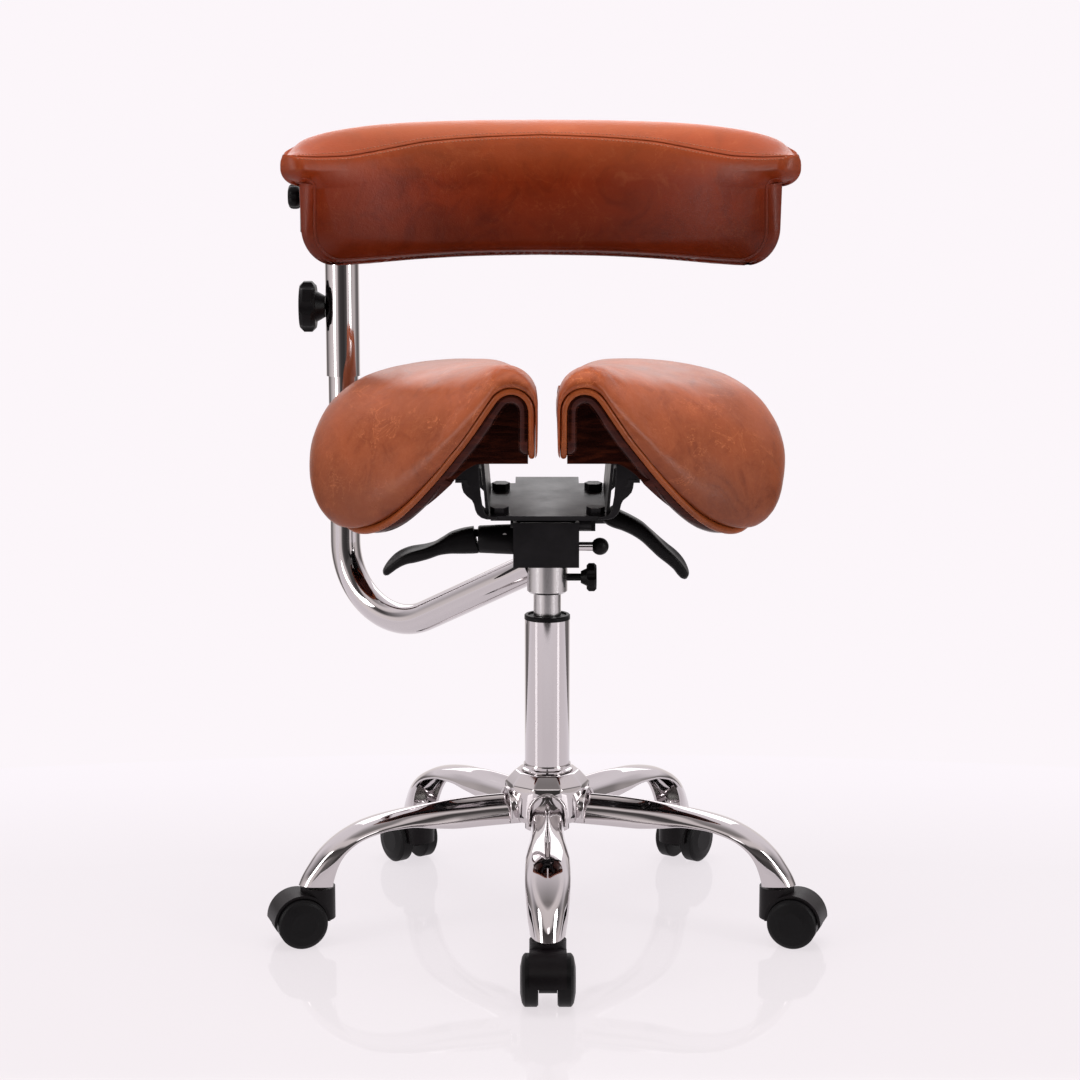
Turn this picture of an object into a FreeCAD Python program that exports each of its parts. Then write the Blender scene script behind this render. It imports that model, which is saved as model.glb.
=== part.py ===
import FreeCAD, Part
import math
import os
import Sketcher
from FreeCAD import Placement, Rotation, Vector

# Ergonomic stool: split leather saddle on a gas column, with a curved back pad on a swinging arm.
# Frame: origin on the floor under the column, +Z up, front of the seat towards -Y.

doc = FreeCAD.newDocument("ergonomic_stool")
sheet = doc.addObject("Spreadsheet::Sheet", "Sizes")
kept = []


class Length:
    """A size of the sheet, or a sum worked out from such sizes, with the formula that binds it."""

    def __init__(self, number, formula):
        self.number = number
        self.formula = formula

    def __float__(self):
        return float(self.number)

    def __add__(self, other):
        return Length(self.number + float(other), f"({self.formula} + {formula_of(other)})")

    def __sub__(self, other):
        return Length(self.number - float(other), f"({self.formula} - {formula_of(other)})")

    def __rsub__(self, other):
        return Length(float(other) - self.number, f"({formula_of(other)} - {self.formula})")

    def __mul__(self, other):
        return Length(self.number * float(other), f"({self.formula} * {formula_of(other)})")

    def __truediv__(self, other):
        return Length(self.number / float(other), f"({self.formula} / {formula_of(other)})")

    def __neg__(self):
        return Length(-self.number, f"(0 - {self.formula})")

    __radd__ = __add__
    __rmul__ = __mul__


def formula_of(value):
    """The formula of a length, or a plain number as text."""
    if isinstance(value, Length):
        return value.formula
    return f"{float(value):.9f}"


class Sheet:
    """Names each driving size once and writes it in the sheet."""

    def __init__(self):
        self.row = 0

    def add(self, sizes):
        for name, number in sizes.items():
            self.row += 1
            sheet.set(f"A{self.row}", name)
            sheet.set(f"B{self.row}", str(number))
            sheet.setAlias(f"B{self.row}", name)
            setattr(self, name, Length(float(number), f"Sizes.{name}"))


S = Sheet()

# Fits shared by all pieces
FIT_SIZES = {
    "running_clearance": 0.06, "soft_clearance": 0.3, "overrun": 2, "plate_steel": 3}
S.add(FIT_SIZES)

# Castors: twin wheels on a trailing axle
CASTOR_SIZES = {
    "castor_circle": 243, "castor_trail": 20, "wheel_diameter": 50, "wheel_width": 17,
    "wheel_spacing": 18, "wheel_tread": 12.5, "wheel_shoulder": 1.6, "axle_diameter": 8,
    "hood_clearance": 0.8, "hood_wall": 2.8, "hood_width": 35, "web_clearance": 0.4,
    "web_foot": 12.5, "stem_housing": 35, "housing_top": 57.6, "stem_diameter": 11,
    "stem_in_arm": 15, "stem_in_housing": 29, "stem_collar": 17, "stem_collar_height": 1.9}
S.add(CASTOR_SIZES)

# Star base
BASE_SIZES = {
    "hub_diameter": 87, "hub_bottom": 110, "hub_top": 159, "hub_chamfer": 11, "arm_top": 137,
    "arm_root_width": 34, "arm_belly_width": 43, "arm_end_height": 59.8, "socket_depth": 18.5,
    "sleeve_wall": 2.5}
S.add(BASE_SIZES)

# Stand tube and gas column
COLUMN_SIZES = {
    "stand_tube": 46, "stand_wall": 2.4, "stand_bottom": 97, "stand_top": 316.6, "stand_floor": 7,
    "trim_width": 53, "trim_step": 2.2, "trim_height": 7, "bush_lip": 46.6, "bush_lip_height": 4.7,
    "bush_length": 82, "bush_recess": 1.6, "bush_lip_wall": 3.6, "cylinder_diameter": 28,
    "cylinder_bore": 23, "cylinder_bottom": 139, "cylinder_plug": 16, "cylinder_inside": 205,
    "taper_start": 377, "taper_top": 411, "taper_small": 25, "pin_bore": 7, "rod_diameter": 10,
    "rod_top": 280, "piston_height": 10, "bearing_diameter": 30, "bearing_height": 9,
    "rod_thread": 9, "clip_diameter": 20, "clip_height": 3, "release_pin_rise": 4.5,
    "release_pin_depth": 30}
S.add(COLUMN_SIZES)

# Mechanism housing under the seat, its levers and plunger
MECHANISM_SIZES = {
    "box_left": 34, "box_right": 31.4, "box_front": 60, "box_rear": 72, "box_bottom": 379.7,
    "box_top": 424.9, "box_wall": 3.2, "box_floor": 6, "boss_diameter": 42, "boss_top": 405,
    "tilt_axle": 10, "tilt_axle_y": -25, "tilt_axle_z": 419, "tilt_head": 15,
    "tilt_head_length": 12.4, "tilt_foot_length": 3, "barrel_diameter": 27, "barrel_root": 31,
    "barrel_length": 36, "barrel_bore": 15, "lever_gap": 1.8, "left_lever_z": 405, "left_pivot": 43,
    "pivot_pin": 4, "lever_rod": 8, "lever_rod_in_paddle": 30, "finger_width": 8,
    "finger_height": 4, "finger_reach": 6, "finger_post": 7, "finger_play": 0.25,
    "right_lever_x": 57, "right_lever_y": 40, "right_lever_z": 412, "right_pivot": 41,
    "lug_thickness": 4, "lug_length": 18, "lug_height": 20, "lug_gap": 14, "right_rod_end": 29,
    "plunger_y": -34, "plunger_z": 397, "plunger_diameter": 9, "plunger_inside": 14,
    "plunger_flange": 13, "plunger_flange_width": 3, "plunger_neck": 12.5, "plunger_ball": 17.5,
    "plunger_travel": 7, "spring_wire": 2.4, "spring_diameter": 20, "spring_y": 50,
    "spring_seat": 2.2}
S.add(MECHANISM_SIZES)

# Cradle that carries the two seat halves; it is pitched with the seat
CRADLE_SIZES = {
    "cradle_top": 437.4, "cradle_front": 72, "cradle_rear": 106, "cradle_half": 60.5,
    "cradle_bend": 9, "tail_half": 33, "tail_length": 30, "bolt_x": 47.5, "bolt_front_y": -57,
    "bolt_rear_y": 50, "bolt_flats": 16, "bolt_head": 6.4, "bolt_shank": 10, "bracket_half": 56,
    "bracket_front": 68, "bracket_rear": 64, "bracket_steel": 2.6, "ear_thickness": 3,
    "ear_play": 0.8, "ear_depth": 22, "ear_length": 24, "rib_top": 495, "rib_lean": 5,
    "rib_front": 66, "rib_rear": 58, "rib_flange": 13, "gusset_length": 26, "gusset_flange_z": 474,
    "gusset_flange": 12}
S.add(CRADLE_SIZES)

# Seat halves
SEAT_SIZES = {
    "seat_gap": 18.8, "shell_gap": 37, "band_thickness": 6.4, "band_ease": 0.65, "band_ease_length": 45,
    "shell_thickness": 10,
    "pommel_width": 68, "pommel_pocket": 30, "pocket_wall": 9,
    "flange_land": 20, "shell_screw": 5, "shell_screw_head": 9, "screw_head_height": 2.6,
    "screw_depth": 14}
S.add(SEAT_SIZES)

# Arm and back pad
ARM_SIZES = {
    "collar_bottom": 344, "collar_top": 376, "collar_diameter": 41, "collar_bush_wall": 2.4,
    "post_x": -217, "post_y": 158, "arm_tube": 32, "arm_wall": 2, "arm_tube_z": 369,
    "arm_corner_z": 248.5, "arm_trim": 1.5, "arm_radius": 77, "post_top": 686, "sleeve_diameter": 36,
    "sleeve_steel": 1.1, "sleeve_bottom": 549, "sleeve_top": 768, "sleeve_bush_length": 24,
    "clamp_ring": 46, "clamp_ring_bottom": 722, "clamp_ring_height": 32, "pad_plan_radius": 400,
    "pad_centre_x": -6.7, "pad_standoff": 27.9, "pad_depth": 44, "pad_panel": 8, "pad_top": 818,
    "pad_height": 134, "pad_seam_drop": 18, "pad_lip": 22, "bracket_plate_width": 78,
    "bracket_plate_height": 70, "pad_screw": 6, "pad_screw_head": 11}
S.add(ARM_SIZES)

# Knobs
KNOB_SIZES = {
    "stud_diameter": 7.5, "collar_knob_x": 34, "collar_knob_diameter": 29, "collar_knob_head": 10,
    "collar_knob_hub": 6, "collar_knob_z": 359.5, "height_knob_z": 622.5,
    "height_knob_diameter": 54, "height_knob_head": 17, "height_knob_hub": 9.5,
    "pad_knob_diameter": 27, "pad_knob_head": 9, "pad_knob_hub": 14, "knob_lobe_depth": 3.2}
S.add(KNOB_SIZES)

# Angles and numbers that are not lengths
SEAT_PITCH = 4.5
CASTOR_COUNT = 5
FIRST_CASTOR_ANGLE = -90.0
BALL_COUNT = 12
HEX_SIDES = 6

UPRIGHT = Rotation()
ALONG_X = Rotation(Vector(0, 1, 0), 90)
ALONG_Y = Rotation(Vector(1, 0, 0), -90)
doc.recompute()


# Helpers that make bound objects

def move(obj, x=0, y=0, z=0, rotation=UPRIGHT):
    """Turn an object and bind its place to the sheet."""
    obj.Placement = Placement(Vector(float(x), float(y), float(z)), rotation)
    for axis, value in (("x", x), ("y", y), ("z", z)):
        if isinstance(value, Length):
            obj.setExpression(f"Placement.Base.{axis}", value.formula)
    return obj


def set_sizes(obj, **sizes):
    """Bind properties of an object to the sheet."""
    for name, value in sizes.items():
        obj.setExpression(name, formula_of(value))
    return obj


def cylinder(name, diameter, height, x=0, y=0, z=0, rotation=UPRIGHT):
    obj = doc.addObject("Part::Cylinder", name)
    set_sizes(obj, Radius=diameter / 2, Height=height)
    return move(obj, x, y, z, rotation)


def cone(name, diameter, end_diameter, height, x=0, y=0, z=0, rotation=UPRIGHT):
    obj = doc.addObject("Part::Cone", name)
    set_sizes(obj, Radius1=diameter / 2, Radius2=end_diameter / 2, Height=height)
    return move(obj, x, y, z, rotation)


def sphere(name, diameter, x=0, y=0, z=0):
    obj = doc.addObject("Part::Sphere", name)
    set_sizes(obj, Radius=diameter / 2)
    return move(obj, x, y, z)


def box(name, x, y, z):
    """A box between two places on each axis."""
    obj = doc.addObject("Part::Box", name)
    set_sizes(obj, Length=x[1] - x[0], Width=y[1] - y[0], Height=z[1] - z[0])
    return move(obj, x[0], y[0], z[0])


def prism(name, flats, height, x=0, y=0, z=0):
    """A hexagonal prism given by its width across flats."""
    obj = doc.addObject("Part::Prism", name)
    obj.Polygon = HEX_SIDES
    set_sizes(obj, Circumradius=flats / (2 * math.cos(math.pi / HEX_SIDES)), Height=height)
    return move(obj, x, y, z)


def cut(name, base, tool):
    obj = doc.addObject("Part::Cut", name)
    obj.Base = base
    obj.Tool = tool
    return obj


def fuse(name, *shapes):
    obj = doc.addObject("Part::MultiFuse", name)
    obj.Shapes = list(shapes)
    obj.Refine = True
    return obj


def group(name, *shapes):
    """Separate solids that are one node."""
    obj = doc.addObject("Part::Compound", name)
    obj.Links = list(shapes)
    return obj


def keep(obj, label):
    """Mark an object as a sub-part and give it its name."""
    obj.Label = label
    kept.append(obj)
    return obj


def feature(label, shape):
    """A sub-part whose form is worked out by code."""
    obj = doc.addObject("Part::Feature", label)
    obj.Shape = shape
    return keep(obj, label)


def origin_plane(body, role):
    for item in body.Origin.OriginFeatures:
        if item.Role == role:
            return item
    raise ValueError(role)


def sketch_on(body, name, role):
    sketch = body.newObject("Sketcher::SketchObject", name)
    sketch.AttachmentSupport = [(origin_plane(body, role), "")]
    sketch.MapMode = "FlatFace"
    return sketch


def draw_outline(sketch, points):
    """Draw a closed outline of straight lines with each corner bound to the sheet."""
    corners = [Vector(float(x), float(y), 0) for x, y in points]
    count = len(corners)
    for index in range(count):
        line = Part.LineSegment(corners[index], corners[(index + 1) % count])
        sketch.addGeometry(line, False)
    for index in range(count):
        following = (index + 1) % count
        sketch.addConstraint(Sketcher.Constraint("Coincident", index, 2, following, 1))
    for index, point in enumerate(points):
        for kind, value in (("DistanceX", point[0]), ("DistanceY", point[1])):
            number = sketch.addConstraint(Sketcher.Constraint(kind, index, 1, float(value)))
            if isinstance(value, Length):
                sketch.setExpression(f"Constraints[{number}]", value.formula)


def turned(name, points):
    """A body turned about the vertical axis from an outline of (radius, height) corners."""
    body = doc.addObject("PartDesign::Body", name)
    sketch = sketch_on(body, name + "_profile", "XZ_Plane")
    draw_outline(sketch, points)
    revolution = body.newObject("PartDesign::Revolution", name + "_turned")
    revolution.Profile = sketch
    revolution.ReferenceAxis = (sketch, ["V_Axis"])
    revolution.Angle = 360
    body.Tip = revolution
    return body


def padded_outline(name, role, points, length, symmetric=False, reverse=False):
    """A body made by padding an outline that is drawn on one of its origin planes."""
    body = doc.addObject("PartDesign::Body", name)
    sketch = sketch_on(body, name + "_outline", role)
    draw_outline(sketch, points)
    pad = body.newObject("PartDesign::Pad", name + "_pad")
    pad.Profile = sketch
    set_sizes(pad, Length=length)
    pad.Midplane = symmetric
    pad.Reversed = reverse
    body.Tip = pad
    return body


# Castors

axle_z = S.wheel_diameter / 2
wheel_inner_y = S.wheel_spacing / 2
wheel_outer_y = wheel_inner_y + S.wheel_width
castor_angles = [FIRST_CASTOR_ANGLE + index * 360.0 / CASTOR_COUNT for index in range(CASTOR_COUNT)]


def at_castor(obj, angle):
    """Move a piece drawn about the stem out to its arm, trailing away from the column."""
    turn = math.radians(angle)
    return move(obj, S.castor_circle * math.cos(turn), S.castor_circle * math.sin(turn), 0,
                Rotation(Vector(0, 0, 1), angle))


def castor_housing(tag, angle):
    """Stem housing, hood over the wheels and the web that carries the axle, with the axle."""
    hood_inner = S.wheel_diameter + 2 * S.hood_clearance
    hood_outer = hood_inner + 2 * S.hood_wall
    hood_half = S.hood_width / 2
    web_half = wheel_inner_y - S.web_clearance
    trail = S.castor_trail
    hood = cylinder("hood" + tag, hood_outer, S.hood_width, trail, -hood_half, axle_z, ALONG_Y)
    below = box("below_hood" + tag, (trail - hood_outer, trail + hood_outer),
                (-S.hood_width, S.hood_width), (-hood_outer, axle_z))
    hood_top = cut("hood_half" + tag, hood, below)
    foot = cylinder("web_foot" + tag, 2 * S.web_foot, 2 * web_half, trail, -web_half, axle_z,
                    ALONG_Y)
    stem_box = cylinder("stem_box" + tag, S.stem_housing, S.housing_top - axle_z, 0, 0, axle_z)
    body = fuse("housing_body" + tag, hood_top, foot, stem_box)
    room_a = cylinder("wheel_room_a" + tag, hood_inner, S.stem_housing, trail, web_half, axle_z,
                      ALONG_Y)
    room_b = cylinder("wheel_room_b" + tag, hood_inner, S.stem_housing, trail,
                      -web_half - S.stem_housing, axle_z, ALONG_Y)
    stem_bore = cylinder("stem_bore" + tag, S.stem_diameter + 2 * S.running_clearance,
                         S.stem_in_housing + S.overrun, 0, 0, S.housing_top - S.stem_in_housing)
    axle_bore = cylinder("axle_bore" + tag, S.axle_diameter, 2 * S.hood_width, trail,
                         -S.hood_width, axle_z, ALONG_Y)
    rooms = fuse("housing_rooms" + tag, room_a, room_b, stem_bore, axle_bore)
    housing = cut("housing_cut" + tag, body, rooms)
    axle_half = wheel_outer_y - S.wheel_shoulder * 2
    axle = cylinder("axle" + tag, S.axle_diameter, 2 * axle_half, trail, -axle_half, axle_z,
                    ALONG_Y)
    both = group("castor_frame" + tag, housing, axle)
    return keep(at_castor(both, angle), "castor_housing" + tag)


def castor_wheel(tag, angle, side):
    """One wheel with a rounded tread and a domed outer face; its bore is closed outside."""
    bore = S.axle_diameter / 2 + S.running_clearance
    rim = S.wheel_diameter / 2
    width = S.wheel_width
    shoulder = S.wheel_shoulder
    end_room = width - S.wheel_shoulder * 2 + S.soft_clearance
    points = [
        (bore, 0),
        (rim - shoulder, 0),
        (rim, shoulder),
        (rim, S.wheel_tread),
        (rim - shoulder, S.wheel_tread + shoulder),
        (rim - 2 * shoulder - shoulder / 2, width - shoulder),
        (rim / 2, width),
        (0, width),
        (0, end_room),
        (bore, end_room),
    ]
    name = "wheel" + tag + ("_a" if side > 0 else "_b")
    body = turned(name, points)
    turn = math.radians(angle)
    out_x, out_y = math.cos(turn), math.sin(turn)
    side_x, side_y = -out_y * side, out_x * side
    reach = S.castor_circle + S.castor_trail
    rotation = Rotation(Vector(0, 0, 1), angle) * Rotation(Vector(1, 0, 0), -90 * side)
    move(body, reach * out_x + wheel_inner_y * side_x, reach * out_y + wheel_inner_y * side_y,
         axle_z, rotation)
    return keep(body, "castor_" + name)


stems = []
sockets = []
for index, angle in enumerate(castor_angles):
    tag = f"_{index + 1}"
    castor_housing(tag, angle)
    castor_wheel(tag, angle, 1)
    castor_wheel(tag, angle, -1)
    stem_pin = cylinder("stem_pin" + tag, S.stem_diameter, S.stem_in_housing + S.stem_in_arm,
                        0, 0, S.arm_end_height - S.stem_in_housing)
    stem_washer = cylinder("stem_washer" + tag, S.stem_collar, S.stem_collar_height, 0, 0,
                           S.arm_end_height - S.stem_collar_height)
    stems.append(at_castor(fuse("stem" + tag, stem_pin, stem_washer), angle))
    socket_body = cylinder("socket_body" + tag, S.stem_diameter + 2 * S.sleeve_wall,
                           S.socket_depth, 0, 0, S.arm_end_height)
    socket_bore = cylinder("socket_bore" + tag, S.stem_diameter, S.stem_in_arm, 0, 0,
                           S.arm_end_height)
    sockets.append(at_castor(cut("socket" + tag, socket_body, socket_bore), angle))

keep(group("stems", *stems), "castor_stems")
keep(group("sockets", *sockets), "stem_sockets")


# Star base: hub and five arms that droop to the castors

def oval(centre, side, up, width, depth):
    """An oval wire of four arcs, flatter below, with the given width and depth."""
    half_width = width / 2
    half_depth = depth / 2
    corner_share = 0.74
    right = centre + side * half_width
    left = centre - side * half_width
    top = centre + up * half_depth
    bottom = centre - up * half_depth
    arcs = []
    for start, end in ((right, top), (top, left), (left, bottom), (bottom, right)):
        across = (start - centre) + (end - centre)
        arcs.append(Part.Arc(start, centre + across * corner_share, end).toShape())
    return Part.Wire(arcs)


def arm_solid():
    """One arm along +X: deep at the hub, shallower as it levels out, then bent down to the castor."""
    # Reach and height of the top line, reach and height of the foot line, widening
    station_table_shares = [
        (0.090, 1.000, 0.090, 0.631, 0.00), (0.250, 1.000, 0.250, 0.631, 0.00),
        (0.399, 0.984, 0.399, 0.628, 0.10), (0.514, 0.951, 0.510, 0.661, 0.35),
        (0.630, 0.907, 0.617, 0.704, 0.60), (0.720, 0.865, 0.704, 0.695, 0.85),
        (0.802, 0.812, 0.782, 0.645, 1.00), (0.864, 0.743, 0.837, 0.590, 1.00),
        (0.917, 0.653, 0.879, 0.500, 1.00), (0.963, 0.534, 0.911, 0.380, 0.95),
        (1.002, 0.407, 0.930, 0.262, 0.85), (1.037, 0.255, 0.942, 0.139, 0.70),
        (1.066, 0.100, 0.949, 0.040, 0.50), (1.090, -0.080, 0.953, -0.080, 0.35)]
    end_x = float(S.castor_circle)
    end_height = float(S.arm_end_height)
    rise = float(S.arm_top) - end_height
    root = float(S.arm_root_width)
    spread = float(S.arm_belly_width) - root
    wires = []
    for top_reach, top_share, foot_reach, foot_share, width_share in station_table_shares:
        top = Vector(end_x * top_reach, 0, end_height + rise * top_share)
        foot = Vector(end_x * foot_reach, 0, end_height + rise * foot_share)
        span = top - foot
        middle = (top + foot) * 0.5
        up = Vector(span).normalize()
        wires.append(oval(middle, Vector(0, 1, 0), up, root + spread * width_share, span.Length))
    arm = Part.makeLoft(wires, True, False)
    socket_top = float(S.arm_end_height + S.socket_depth)
    floor_box = Part.makeBox(end_x, 2 * end_x, socket_top,
                             Vector(end_x / 2, -end_x, end_height - socket_top))
    arm = arm.cut(floor_box)
    bore = Part.makeCylinder(float(S.stem_diameter) / 2 + float(S.sleeve_wall),
                             float(S.socket_depth), Vector(end_x, 0, end_height))
    return arm.cut(bore)


def star_base():
    hub_radius = float(S.hub_diameter) / 2
    chamfer = float(S.hub_chamfer)
    bottom = float(S.hub_bottom)
    top = float(S.hub_top)
    hub = Part.makeCylinder(hub_radius, top - chamfer - bottom, Vector(0, 0, bottom))
    crown = Part.makeCone(hub_radius, hub_radius - chamfer, chamfer, Vector(0, 0, top - chamfer))
    base = hub.fuse(crown)
    arm = arm_solid()
    for angle in castor_angles:
        turned_arm = arm.copy()
        turned_arm.rotate(Vector(0, 0, 0), Vector(0, 0, 1), angle)
        base = base.fuse(turned_arm)
    bore = Part.makeCylinder(float(S.stand_tube) / 2, top, Vector(0, 0, bottom - top / 2))
    return base.cut(bore).removeSplitter()


feature("star_base", star_base())


# Stand tube, trim ring and guide bush

tube_r = S.stand_tube / 2
tube_bore = tube_r - S.stand_wall
rod_r = S.rod_diameter / 2
floor_top = S.stand_bottom + S.stand_floor
rod_hole = rod_r + S.running_clearance
keep(turned("stand_tube_body", [
    (rod_hole, S.stand_bottom), (tube_r, S.stand_bottom), (tube_r, S.stand_top),
    (tube_bore, S.stand_top), (tube_bore, floor_top), (rod_hole, floor_top)]), "stand_tube")

trim_r = S.trim_width / 2
trim_top = S.hub_top + S.trim_height
keep(turned("trim_body", [
    (tube_r, S.hub_top), (trim_r - S.trim_step, S.hub_top),
    (trim_r, S.hub_top + S.trim_step / 2), (trim_r, S.hub_top + S.trim_height / 3),
    (trim_r - S.trim_step, S.hub_top + S.trim_height / 2),
    (trim_r - S.trim_step, trim_top - S.trim_step / 2),
    (tube_r + S.trim_step / 2, trim_top), (tube_r, trim_top)]), "hub_trim_ring")

cylinder_r = S.cylinder_diameter / 2
bush_bore = cylinder_r + S.running_clearance
lip_r = S.bush_lip / 2
lip_top = S.stand_top + S.bush_lip_height
bush_bottom = S.stand_top - S.bush_length
lip_inner = lip_r - S.bush_lip_wall
keep(turned("bush_body", [
    (bush_bore, bush_bottom), (tube_bore, bush_bottom), (tube_bore, S.stand_top),
    (lip_r, S.stand_top), (lip_r, lip_top - S.bush_recess / 2),
    (lip_r - S.bush_recess / 2, lip_top), (lip_inner, lip_top),
    (lip_inner, lip_top - S.bush_recess), (bush_bore, lip_top - S.bush_recess)]), "guide_bush")


# Thrust bearing: two washers and a ring of balls between them

def thrust_bearing():
    washer = float(S.bearing_height) / 3
    cage_low_share = 1.25
    ball_middle_share = 1.5
    outer = float(S.bearing_diameter) / 2
    inner = float(rod_hole)
    low = float(floor_top)
    parts = []
    for height in (low, low + 2 * washer):
        ring = Part.makeCylinder(outer, washer, Vector(0, 0, height))
        parts.append(ring.cut(Part.makeCylinder(inner, washer, Vector(0, 0, height))))
    circle = (outer + inner) / 2
    cage = Part.makeCylinder(circle + washer / 2, washer / 2,
                             Vector(0, 0, low + cage_low_share * washer))
    cage = cage.cut(Part.makeCylinder(circle - washer / 2, washer, Vector(0, 0, low + washer)))
    for index in range(BALL_COUNT):
        turn = 2 * math.pi * index / BALL_COUNT
        centre = Vector(circle * math.cos(turn), circle * math.sin(turn),
                        low + ball_middle_share * washer)
        cage = cage.fuse(Part.makeSphere(washer / 2, centre))
    parts.append(cage)
    return Part.makeCompound(parts)


feature("thrust_bearing", thrust_bearing())

# Piston rod with its piston, and the clip under the base

bearing_top = floor_top + S.bearing_height
rod_bottom = S.stand_bottom - S.rod_thread
piston_r = S.cylinder_bore / 2 - S.running_clearance
shoulder_r = S.bearing_diameter / 3
keep(turned("rod_body", [
    (0, rod_bottom), (rod_r, rod_bottom), (rod_r, bearing_top),
    (shoulder_r, bearing_top), (shoulder_r, bearing_top + S.clip_height),
    (rod_r, bearing_top + S.clip_height), (rod_r, S.rod_top - S.piston_height),
    (piston_r, S.rod_top - S.piston_height), (piston_r, S.rod_top), (0, S.rod_top)]),
    "piston_rod")
clip_r = S.clip_diameter / 2
clip_top = S.stand_bottom - S.running_clearance
keep(turned("clip_body", [
    (rod_r, clip_top - S.clip_height), (clip_r, clip_top - S.clip_height), (clip_r, clip_top),
    (rod_r, clip_top)]), "rod_clip")

# Gas cylinder with its taper, and the release pin in its top

bore_r = S.cylinder_bore / 2
plug_top = S.cylinder_bottom + S.cylinder_plug
inside_top = S.cylinder_bottom + S.cylinder_inside
small_r = S.taper_small / 2
pin_r = S.pin_bore / 2 - S.running_clearance
pin_hole = S.pin_bore / 2
pin_floor = S.taper_top - S.release_pin_depth
keep(turned("cylinder_body", [
    (rod_hole, S.cylinder_bottom), (cylinder_r, S.cylinder_bottom), (cylinder_r, S.taper_start),
    (small_r, S.taper_top), (pin_hole, S.taper_top), (pin_hole, pin_floor),
    (0, pin_floor), (0, inside_top), (bore_r, inside_top), (bore_r, plug_top),
    (rod_hole, plug_top)]), "gas_cylinder")
pin_top = S.taper_top + S.release_pin_rise
pin_low = pin_floor + S.release_pin_rise + S.overrun
keep(turned("pin_body", [
    (0, pin_low), (pin_r, pin_low), (pin_r, pin_top - S.overrun / 4),
    (pin_r - S.overrun / 4, pin_top), (0, pin_top)]), "release_pin")


# Mechanism housing: open-topped box with the boss that takes the taper of the column

box_x = (-S.box_left, S.box_right)
box_y = (-S.box_front, S.box_rear)
inner_x = (-S.box_left + S.box_wall, S.box_right - S.box_wall)
inner_y = (-S.box_front + S.box_wall, S.box_rear - S.box_wall)
floor_z = S.box_bottom + S.box_floor
right_lug_x = (S.box_right, S.box_right + S.lug_length)
lug_inner = S.right_lever_y - S.lug_gap / 2
lug_outer = S.right_lever_y + S.lug_gap / 2
lug_z = (S.right_lever_z - S.lug_height / 2, S.right_lever_z + S.lug_height / 2)
housing_outer = box("housing_outer", box_x, box_y, (S.box_bottom, S.box_top))
housing_room = box("housing_room", inner_x, inner_y, (floor_z, S.box_top + S.overrun))
housing_walls = cut("housing_walls", housing_outer, housing_room)
boss = cylinder("housing_boss", S.boss_diameter, S.boss_top - S.box_bottom, 0, 0, S.box_bottom)
lug_front = box("lug_front", right_lug_x, (lug_inner - S.lug_thickness, lug_inner), lug_z)
lug_back = box("lug_back", right_lug_x, (lug_outer, lug_outer + S.lug_thickness), lug_z)
spring_cup = cylinder("spring_cup", S.spring_diameter - 2 * S.spring_wire - S.overrun / 2,
                      S.spring_wire * 2, 0, S.spring_y, floor_z)
housing_all = fuse("housing_all", housing_walls, boss, lug_front, lug_back, spring_cup)
taper_length = S.taper_top - S.taper_start
taper_slope = (S.cylinder_diameter - S.taper_small) / taper_length
taper_at_bottom = S.cylinder_diameter - taper_slope * (S.box_bottom - S.taper_start)
taper_at_boss = S.cylinder_diameter - taper_slope * (S.boss_top - S.taper_start)
taper_hole = cone("taper_hole", taper_at_bottom, taper_at_boss, S.boss_top - S.box_bottom, 0, 0,
                  S.box_bottom)
axle_hole = cylinder("axle_hole", S.tilt_axle, S.box_left + S.box_right, -S.box_left,
                     S.tilt_axle_y, S.tilt_axle_z, ALONG_X)
left_window = cylinder("left_window", S.barrel_bore, 2 * S.box_wall,
                       -S.box_left - S.box_wall / 2, 0, S.left_lever_z, ALONG_X)
right_window = cylinder("right_window", S.lug_gap, 2 * S.box_wall,
                        S.box_right - S.box_wall - S.box_wall / 2, S.right_lever_y,
                        S.right_lever_z, ALONG_X)
plunger_hole = cylinder("plunger_hole", S.plunger_diameter + 2 * S.running_clearance,
                        2 * S.box_wall, S.box_right - S.box_wall - S.box_wall / 2, S.plunger_y,
                        S.plunger_z, ALONG_X)
right_pin_hole = cylinder("right_pin_hole", S.pivot_pin, 2 * S.lug_height, S.right_pivot,
                          S.right_lever_y - S.lug_height, S.right_lever_z, ALONG_Y)
housing_holes = fuse("housing_holes", taper_hole, axle_hole, left_window, right_window,
                     plunger_hole, right_pin_hole)
keep(cut("housing", housing_all, housing_holes), "mechanism_housing")

# Tilt axle, through the housing and the ears of the tilt bracket

axle_length = S.box_left + S.box_right + S.tilt_foot_length
tilt_shaft = cylinder("tilt_shaft", S.tilt_axle, axle_length,
                      -S.box_left - S.tilt_foot_length, S.tilt_axle_y, S.tilt_axle_z, ALONG_X)
tilt_cap = cylinder("tilt_cap", S.tilt_head, S.tilt_head_length, S.box_right, S.tilt_axle_y,
                    S.tilt_axle_z, ALONG_X)
keep(fuse("tilt_pin", tilt_shaft, tilt_cap), "tilt_axle")

# Left lever barrel on the housing wall, and the pivot pins of both levers

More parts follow.
